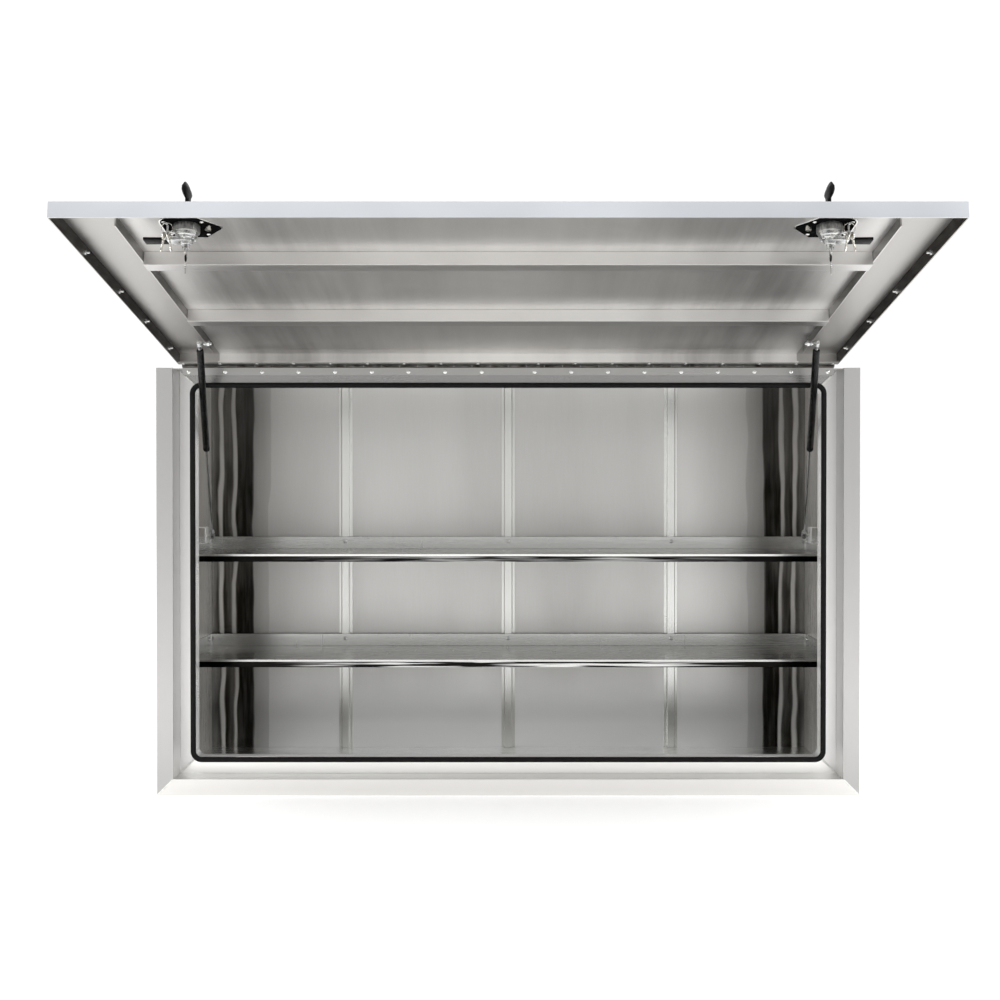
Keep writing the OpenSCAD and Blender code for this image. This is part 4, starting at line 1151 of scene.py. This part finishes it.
def add_plate(bm, outline, low_n, high_n, matrix, holes=()):
    """Extrudes an outline of x and z between two heights, with round holes of (x, z, radius)."""
    loops = [outline]
    for x, z, hole in holes:
        loops.append([(x + hole * math.cos(math.radians(a)), z + hole * math.sin(math.radians(a)))
                      for a in range(0, 360, 9)])
    rims = {low_n: [], high_n: []}
    for loop in loops:
        rows = [[bm.verts.new(matrix @ Vector((x, -n, z))) for x, z in loop] for n in (low_n, high_n)]
        for n, row in zip((low_n, high_n), rows):
            rims[n] += [bm.edges.new(pair) for pair in zip(row, row[1:] + row[:1])]
        for i in range(len(loop)):
            j = (i + 1) % len(loop)
            bm.faces.new((rows[0][i], rows[0][j], rows[1][j], rows[1][i]))
    for n in rims:
        bmesh.ops.triangle_fill(bm, edges=rims[n], use_beauty=True)


# %% Lock plates and cup
def make_plates(name, side):
    place = lock_frame(side)
    inner_n, skin_n = -plate_high.y, -plate_low.y
    outer_low, outer_high = corners_in("lock_dish_" + name, place)
    outside = -outer_low.y
    cup, mouth, shaft_way = 20.5 * mm, 17.5 * mm, 6.3 * mm
    bm = bmesh.new()
    add_plate(bm, lock_outline(-1.2 * mm), inner_n, skin_n - 0.1 * mm, place, holes=[(0, 0, cup)])
    bevelled(bm, 0.6 * mm)
    inner = mesh_object("lock_inner_plate_" + name, bm, plate_black)
    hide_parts("lock_backplate_" + name)
    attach(inner, "door")
    bm = bmesh.new()
    add_plate(bm, lock_outline(1.4 * mm), skin_n - 1.0 * mm, skin_n - 0.05 * mm, place, holes=[(0, 0, cup)])
    bevelled(bm, 0.3 * mm)
    trim = mesh_object("lock_inner_trim_" + name, bm, gasket)
    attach(trim, "door")

    bm = bmesh.new()
    key = place.inverted() @ pivot("key_turn_" + name)
    key_high = corners_in("lock_cylinder_" + name, turned_on(side, key.x, key.z))[1]
    key_hole = max(key_high.x, key_high.y) + 0.6 * mm
    add_plate(bm, lock_outline(), door_top, outside, place, holes=[(0, 0, mouth), (key.x, key.z, key_hole)])
    bevelled(bm, 0.7 * mm)
    outer = mesh_object("lock_outer_plate_" + name, bm, powder_coat)
    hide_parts("lock_dish_" + name)
    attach(outer, "door")
    floor_n, rim_n, wall = -outer_high.y, outside - 0.4 * mm, 3 * mm
    bm = bmesh.new()
    profile = [(mouth, rim_n), (mouth, floor_n + wall), (shaft_way, floor_n + wall), (shaft_way, floor_n),
               (cup - 1 * mm, floor_n), (cup, floor_n + 1 * mm), (cup, rim_n), (mouth, rim_n)]
    add_lathe(bm, profile, turned_on(side), turns=48)
    ribs, rib_r = 28, 0.7 * mm
    for i in range(ribs):
        angle = 2 * math.pi * i / ribs
        foot = turned_on(side) @ Vector((cup * math.cos(angle), cup * math.sin(angle), floor_n + 1.5 * mm))
        top = turned_on(side) @ Vector((cup * math.cos(angle), cup * math.sin(angle), inner_n))
        length = (top - foot).length
        add_lathe(bm, [(0, 0), (rib_r, 0), (rib_r, length), (0, length)], along(foot, top), turns=8)
    cup_piece = mesh_object("lock_cup_" + name, bm, cast_zinc)
    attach(cup_piece, "door")


sides = {"left": -1, "right": 1}
for name, side in sides.items():
    make_plates(name, side)
print("lock plates: 2 inner, 2 outer, cups and trims")

# %% Lock rivets
def lock_rivet_rows():
    place = lock_frame(1)
    points = [place.inverted() @ v.co for v in frame["nodes"]["lock_rivets"].data.vertices if v.co.x > 0]
    seat_y = min(p.y for p in points)
    radius, height = 3.5 * mm, 1.6 * mm
    template = turned_template("lock_rivet_template", rivet_profile(radius, height))
    rows = []
    for side in sides.values():
        frame_here = lock_frame(side)
        first_x, last_x = min(p.x for p in points) + radius, max(p.x for p in points) - radius
        for z in (min(p.z for p in points) + radius, max(p.z for p in points) - radius):
            start = frame_here @ Vector((first_x, seat_y, z))
            end = frame_here @ Vector((last_x, seat_y, z))
            facing = door.to_3x3() @ Matrix.Rotation(-math.pi / 2, 3, "X")
            rows.append((start, end - start, 2, facing))
    make_rows("lock_rivet_rows", template, rivet_metal, rows, "door", ("lock_rivets",))
    bpy.data.objects.remove(template)


lock_rivet_rows()

# %% [markdown]
# ### Shaft, hub, tongue and handle
# The hub is a bright casting with six lugs. The tongue is a black laser-cut plate with a rounded
# end, in a bright saddle, held by a nut. A thin arm on the hub carries the key ring. The handle is
# moulded nylon: a flat stem that widens into a leaf-shaped cross grip with finger grooves, which is
# lofted from a row of sections.

# %% Hub and tongue
def make_tongue(name, side):
    place = lock_frame(side)
    low, high = corners_in("lock_tongue_" + name, place)
    tip = high.x
    top_n, nut_n = -low.y, -high.y
    plate_n = nut_n + 5 * mm
    width, thick, nose_r, tail_r, bore = 24 * mm, 4 * mm, 1.5 * mm, 9 * mm, 6.1 * mm
    outline = [(tip - nose_r + nose_r * math.cos(math.radians(a)), (width / 2 - nose_r) * (1 if a > 0 else -1)
                + nose_r * math.sin(math.radians(a))) for a in range(-90, 91, 15) if a]
    outline += [(tail_r * math.cos(math.radians(a)), tail_r * math.sin(math.radians(a)))
                for a in range(90, 271, 15)]
    bm = bmesh.new()
    add_plate(bm, outline, plate_n, plate_n + thick, place, holes=[(0, 0, bore)])
    bevelled(bm, 0.5 * mm)
    tongue = mesh_object("lock_tongue_plate_" + name, bm, powder_coat)
    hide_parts("lock_tongue_" + name)
    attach(tongue, "lock_shaft_" + name)
    saddle_bm = bmesh.new()
    saddle_x, saddle_half = 29 * mm, width / 2 + 0.4 * mm
    saddle = [(saddle_x, -saddle_half), (saddle_x, saddle_half), (0, saddle_half), (-9.5 * mm, 7 * mm),
              (-9.5 * mm, -7 * mm), (0, -saddle_half)]
    add_plate(saddle_bm, saddle, plate_n - 0.5 * mm, plate_n + thick + 0.1 * mm, place, holes=[(0, 0, bore)])
    bevelled(saddle_bm, 0.2 * mm)
    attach(mesh_object("lock_tongue_saddle_" + name, saddle_bm, zinc_plate), "lock_shaft_" + name)
    hub, floor_n = 18 * mm, plate_n + thick
    bm = bmesh.new()
    add_lathe(bm, [(bore, floor_n), (hub - 5 * mm, floor_n), (hub - 3 * mm, floor_n + 1.2 * mm),
                   (hub - 3 * mm, floor_n + 3.4 * mm), (hub - 0.6 * mm, floor_n + 4.4 * mm),
                   (hub, floor_n + 5 * mm),
                   (hub, top_n - 0.8 * mm), (hub - 0.8 * mm, top_n), (bore, top_n), (bore, floor_n)],
              turned_on(side), turns=48)
    lug_ring = hub - 4 * mm
    for k in range(6):
        angle = math.radians(30 + 60 * k)
        lug = turned_on(side) @ Matrix.Translation((lug_ring * math.cos(angle), lug_ring * math.sin(angle),
                                                    0))
        add_lathe(bm, [(0, floor_n - 1.6 * mm), (2.0 * mm, floor_n - 1.6 * mm), (2.5 * mm, floor_n - 1 * mm),
                       (2.5 * mm, floor_n + 4 * mm), (0, floor_n + 4 * mm)], lug, turns=16)
    hub_piece = mesh_object("lock_hub_" + name, bm, zinc_plate)
    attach(hub_piece, "lock_shaft_" + name)
    bm = bmesh.new()
    add_lathe(bm, [(bore, nut_n), (8 * mm, nut_n), (9 * mm, nut_n + 0.8 * mm), (9 * mm, nut_n + 4.2 * mm),
                   (8 * mm, plate_n), (bore, plate_n), (bore, nut_n)], turned_on(side), turns=6)
    nut = mesh_object("lock_nut_" + name, bm, zinc_plate, smooth_angle=20)
    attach(nut, "lock_shaft_" + name)


# %% Key hook
hook_place = lock_frame(1).inverted() @ pivot("key_ring_swing_right")


def make_key_hook(name, side):
    """A wire-thin arm from the hub to an upright ear, and the headed pin that the ring hangs on."""
    place = lock_frame(side)
    arm_n, ear_z, half = 4.5 * mm, hook_place.z + 5 * mm, 1.5 * mm
    start = Vector((hook_place.x, 0, ear_z)).normalized() * 16 * mm
    bm = bmesh.new()
    line = along(place @ Vector((start.x, -arm_n, start.z)), place @ Vector((hook_place.x + half, -arm_n,
                                                                             ear_z - half)))
    reach = (Vector((hook_place.x + half, 0, ear_z - half)) - start).length
    add_sweep(bm, [[line @ Vector((x * half, y * half, z)) for x, y in ((-1, -1), (1, -1), (1, 1), (-1, 1))]
                   for z in (0, reach)])
    bevelled(bm, 0.3 * mm)
    ear = [(-half, -arm_n), (half, -arm_n), (half, hook_place.y + 0.2 * mm),
           (half * 0.5, hook_place.y + half),
           (-half * 0.5, hook_place.y + half), (-half, hook_place.y + 0.2 * mm)]
    add_sweep(bm, [[place @ Vector((hook_place.x + x, y, ear_z + z)) for x, y in ear] for z in (-0.75 * mm,
                                                                                                0.75 * mm)])
    pin = place @ Matrix.Translation((hook_place.x, hook_place.y, 0))
    tail = hook_place.z - 3.5 * mm
    add_lathe(bm, [(0, tail), (1.6 * mm, tail), (2 * mm, tail + 0.3 * mm), (2 * mm, tail + 1 * mm),
                   (1 * mm, tail + 1 * mm),
                   (1 * mm, ear_z), (0, ear_z)], pin, turns=20)
    hook = mesh_object("lock_key_hook_" + name, bm, zinc_plate)
    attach(hook, "lock_shaft_" + name)


# %% Handle
def make_handle(name, side):
    place = lock_frame(side)
    low, high = corners_in("lock_handle_" + name, place)
    pin = place.inverted() @ pivot("handle_fold_" + name)
    top_n, pin_n = -low.y - 5 * mm, -pin.y
    half = (high.z - low.z) / 2
    grip_h, grip_half = 27 * mm, 6 * mm
    # Shares of the half length: how far the grip reaches, how far it sits towards the free edge, and
    # where it stops short of a sharp point, which leaves the least fullness
    reach, shift, blunt, least = 0.72, 0.28, 0.985, 0.10
    upper_taper, lower_taper, groove_depth, grooves = 0.55, 0.35, 0.12, 7
    steps, around = 28, 24
    middle = top_n - grip_h / 2
    bm = bmesh.new()
    rings = []
    for k in range(steps + 1):
        along_grip = math.sin(math.pi / 2 * (-1 + 2 * k / steps))
        z = half * (reach * along_grip * blunt - shift)
        full = max(least, (1 - abs(along_grip * blunt) ** 2.2) ** 0.5)
        ring = []
        for i in range(around):
            angle = 2 * math.pi * i / around
            rise = math.sin(angle)
            wide = math.cos(angle) * (1 - upper_taper * max(0, rise) ** 1.5
                                      - lower_taper * max(0, -rise) ** 2)
            groove = 1 - groove_depth * max(0, math.cos(angle * grooves))
            ring.append(place @ Vector((grip_half * wide * full ** 0.6 * groove,
                                        -(middle + grip_h / 2 * rise * full), z)))
        rings.append(ring)
    add_sweep(bm, rings)
    stem = []
    for n, wide, deep in ((pin_n - 5 * mm, 2.6 * mm, 3.0 * mm), (pin_n - 4 * mm, 4.2 * mm, 5.2 * mm),
                          (pin_n, 5 * mm, 5.7 * mm), (pin_n + 6 * mm, 4.2 * mm, 5.7 * mm),
                          (pin_n + 16 * mm, 3.4 * mm, 6.5 * mm), (top_n - grip_h + 4 * mm, 3.6 * mm, 10 * mm),
                          (top_n - grip_h + 10 * mm, 3.2 * mm, 14 * mm)):
        stem.append([place @ Vector((wide * math.copysign(abs(math.cos(a)) ** 0.6, math.cos(a)), -n,
                                     deep * math.copysign(abs(math.sin(a)) ** 0.6, math.sin(a))))
                     for a in [2 * math.pi * (i + 0.5) / 20 for i in range(20)]])
    add_sweep(bm, stem)
    handle = mesh_object("lock_handle_moulded_" + name, bm, nylon, smooth_angle=60)
    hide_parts("lock_handle_" + name)
    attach(handle, "lock_handle_" + name)
    bm = bmesh.new()
    pin_half = 10 * mm
    add_lathe(bm, [(0, -pin_half), (2.1 * mm, -pin_half), (2.5 * mm, -pin_half + 0.4 * mm),
                   (2.5 * mm, pin_half - 0.4 * mm), (2.1 * mm, pin_half), (0, pin_half)],
              place @ Matrix.Translation(pin), turns=20)
    pin_piece = mesh_object("lock_handle_pin_" + name, bm, zinc_plate)
    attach(pin_piece, "lock_handle_" + name)


# %% Moving parts of both locks
for name, side in sides.items():
    make_tongue(name, side)
    make_key_hook(name, side)
    make_handle(name, side)
    fold_sheet("lock_shaft_" + name, zinc_plate, fold=0.35 * mm)
    fold_sheet("lock_cylinder_" + name, nickel, fold=0.2 * mm)
print("tongues, hubs and handles: 2 of each")

# %% [markdown]
# ### Keys
# Two keys hang from a split ring on the hook of each hub, and a spare hangs from a wire loop
# through the shaft's end. The ring's keys are metal all over, and the spare has a black moulded
# head. A blade is thin, with cuts along one edge. The ring is a double coil of spring wire.

# %% Wire and key shapes
def add_wire(bm, points, radius, sides_count=10, closed=False):
    """A round wire along a list of points."""
    rings = []
    count = len(points)
    for i, point in enumerate(points):
        ahead = points[(i + 1) % count] if closed or i < count - 1 else point
        behind = points[i - 1] if closed or i else point
        turn = (ahead - behind).normalized().to_track_quat("Z", "Y")
        rings.append([point + turn @ Vector((radius * math.cos(a), radius * math.sin(a), 0))
                      for a in [2 * math.pi * k / sides_count for k in range(sides_count)]])
    add_sweep(bm, rings, closed=closed)


def add_key(head_bm, blade_bm, place, head=7.2 * mm):
    """A hanging key: its head's middle at the origin of `place`, blade along +y, flat across z."""
    outline = [(head * math.cos(math.radians(a)) * (1.0 if math.sin(math.radians(a)) < 0 else 0.86),
                head * math.sin(math.radians(a))) for a in range(0, 360, 12)]
    rows = []
    for depth, shrink in ((-1.0, 0.86), (-0.7, 1.0), (0.7, 1.0), (1.0, 0.86)):
        rows.append([place @ Vector((x * shrink, y * shrink, depth * mm)) for x, y in outline])
    add_sweep(head_bm, rows)
    tooth = [(2.0, 6.5), (2.0, 9.0), (1.3, 10.2), (1.9, 11.4), (0.9, 13.2), (1.7, 14.8), (1.1, 16.4),
             (1.9, 18.0),
             (1.2, 20.0), (1.6, 21.6), (0.6, 25.6), (-1.2, 26.0), (-2.0, 25.0), (-2.0, 6.5)]
    add_sweep(blade_bm, [[place @ Vector((x * mm, y * mm, z * mm)) for x, y in tooth] for z in (-0.7, 0.7)])


# %% Key rings and spares
def make_keys(name, side):
    place = lock_frame(side)
    ring_r, wire, slack, pin_r = 9 * mm, 0.8 * mm, 0.3 * mm, 1 * mm
    centre = Vector((hook_place.x, hook_place.y + ring_r - wire - slack - pin_r, hook_place.z))
    metal = bmesh.new()
    edge_on = Matrix.Rotation(math.radians(66), 4, "Y")
    coil_steps = 72
    coil = [place @ (centre + Vector((ring_r * math.sin(a), -ring_r * math.cos(a),
                                      (a / (2 * math.pi) - 1) * wire)))
            for a in [4 * math.pi * i / coil_steps for i in range(coil_steps + 1)]]
    add_wire(metal, coil, wire * 0.5)
    for turn in (-1, 1):
        hung = place @ Matrix.Translation(centre + Vector((turn * 1.4 * mm, 0, 0))) @ Matrix.Rotation(
            math.radians(-10 * turn), 4, "Z")
        add_key(metal, metal, hung @ Matrix.Translation((0, ring_r + 4.0 * mm, 0)) @ edge_on, head=6.4 * mm)
    keys = mesh_object("key_blades_" + name, metal, nickel)
    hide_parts("key_ring_" + name)
    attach(keys, "key_ring_" + name)

    loop_top = place.inverted() @ pivot("spare_key_swing_" + name)
    drop, half, bend = 12 * mm, 7.4 * mm, 3 * mm
    heads, metal = bmesh.new(), bmesh.new()
    loop = [(0, -half)] + [(drop - bend + bend * math.sin(a), -half + bend - bend * math.cos(a))
                           for a in [math.pi / 2 * i / 5 for i in range(6)]]
    loop = loop + [(y, -z) for y, z in reversed(loop)]
    add_wire(metal, [place @ (loop_top + Vector((0, y, z))) for y, z in loop], wire, closed=True)
    add_key(heads, metal, place @ Matrix.Translation(loop_top + Vector((0, drop + 6.4 * mm, 0)))
            @ Matrix.Rotation(math.pi / 2, 4, "Y"), head=5.6 * mm)
    spare = mesh_object("spare_blade_" + name, metal, nickel)
    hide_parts("spare_key_" + name)
    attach(spare, "spare_key_" + name)
    spare_head = mesh_object("spare_head_" + name, heads, nylon, smooth_angle=50)
    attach(spare_head, "spare_key_" + name)


for name, side in sides.items():
    make_keys(name, side)
print("keys: 2 rings of 2, and 2 spares")

# %% [markdown]
# ## Small CAD parts that stay
# The hinge pin and the screws in the door's side edges have their true shape in the frame, so
# they keep it and only get a finish.

# %% Finishes on the CAD nodes that stay
for node in ("hinge_pin", "door_side_screws"):
    frame["nodes"][node].data.materials.clear()
    frame["nodes"][node].data.materials.append(zinc_plate)
print("hinge pin and side screws: zinc plate")

# %% [markdown]
# ## Material slots
# Each finish is listed under the slot of the part's record that it belongs to, and the new pieces
# whose finish has a slot are counted.

# %% Slots
slots = {
    "sheet": (sheet_across, sheet_door, side_sheet, back_sheet, upper_shelf_sheet, lower_shelf_sheet),
    "bright_frame": (header_sheet, sill_sheet, lip_sheet, web_sheet, hinge_sheet, frame_sheet, stiff_sheet),
    "zinc": (bright_zinc, zinc_plate, cast_zinc, gasket),
    "black_metal": (powder_coat, plate_black), "black_plastic": (nylon,), "strut_tube": (tube_paint,),
    "rod": (hard_chrome,), "weld": (weld_metal,), "rivet": (rivet_metal,), "seal": (epdm_rubber,),
    "key": (nickel,),
}
slot_of = {finish: slot for slot, finishes in slots.items() for finish in finishes}
named = 0
for piece in list(bpy.context.scene.objects):
    if piece.type == "MESH" and piece.name not in frame["nodes"] and piece.data.materials:
        finish = piece.data.materials[0]
        if finish in slot_of:
            named += 1
print("pieces with a slot:", named)
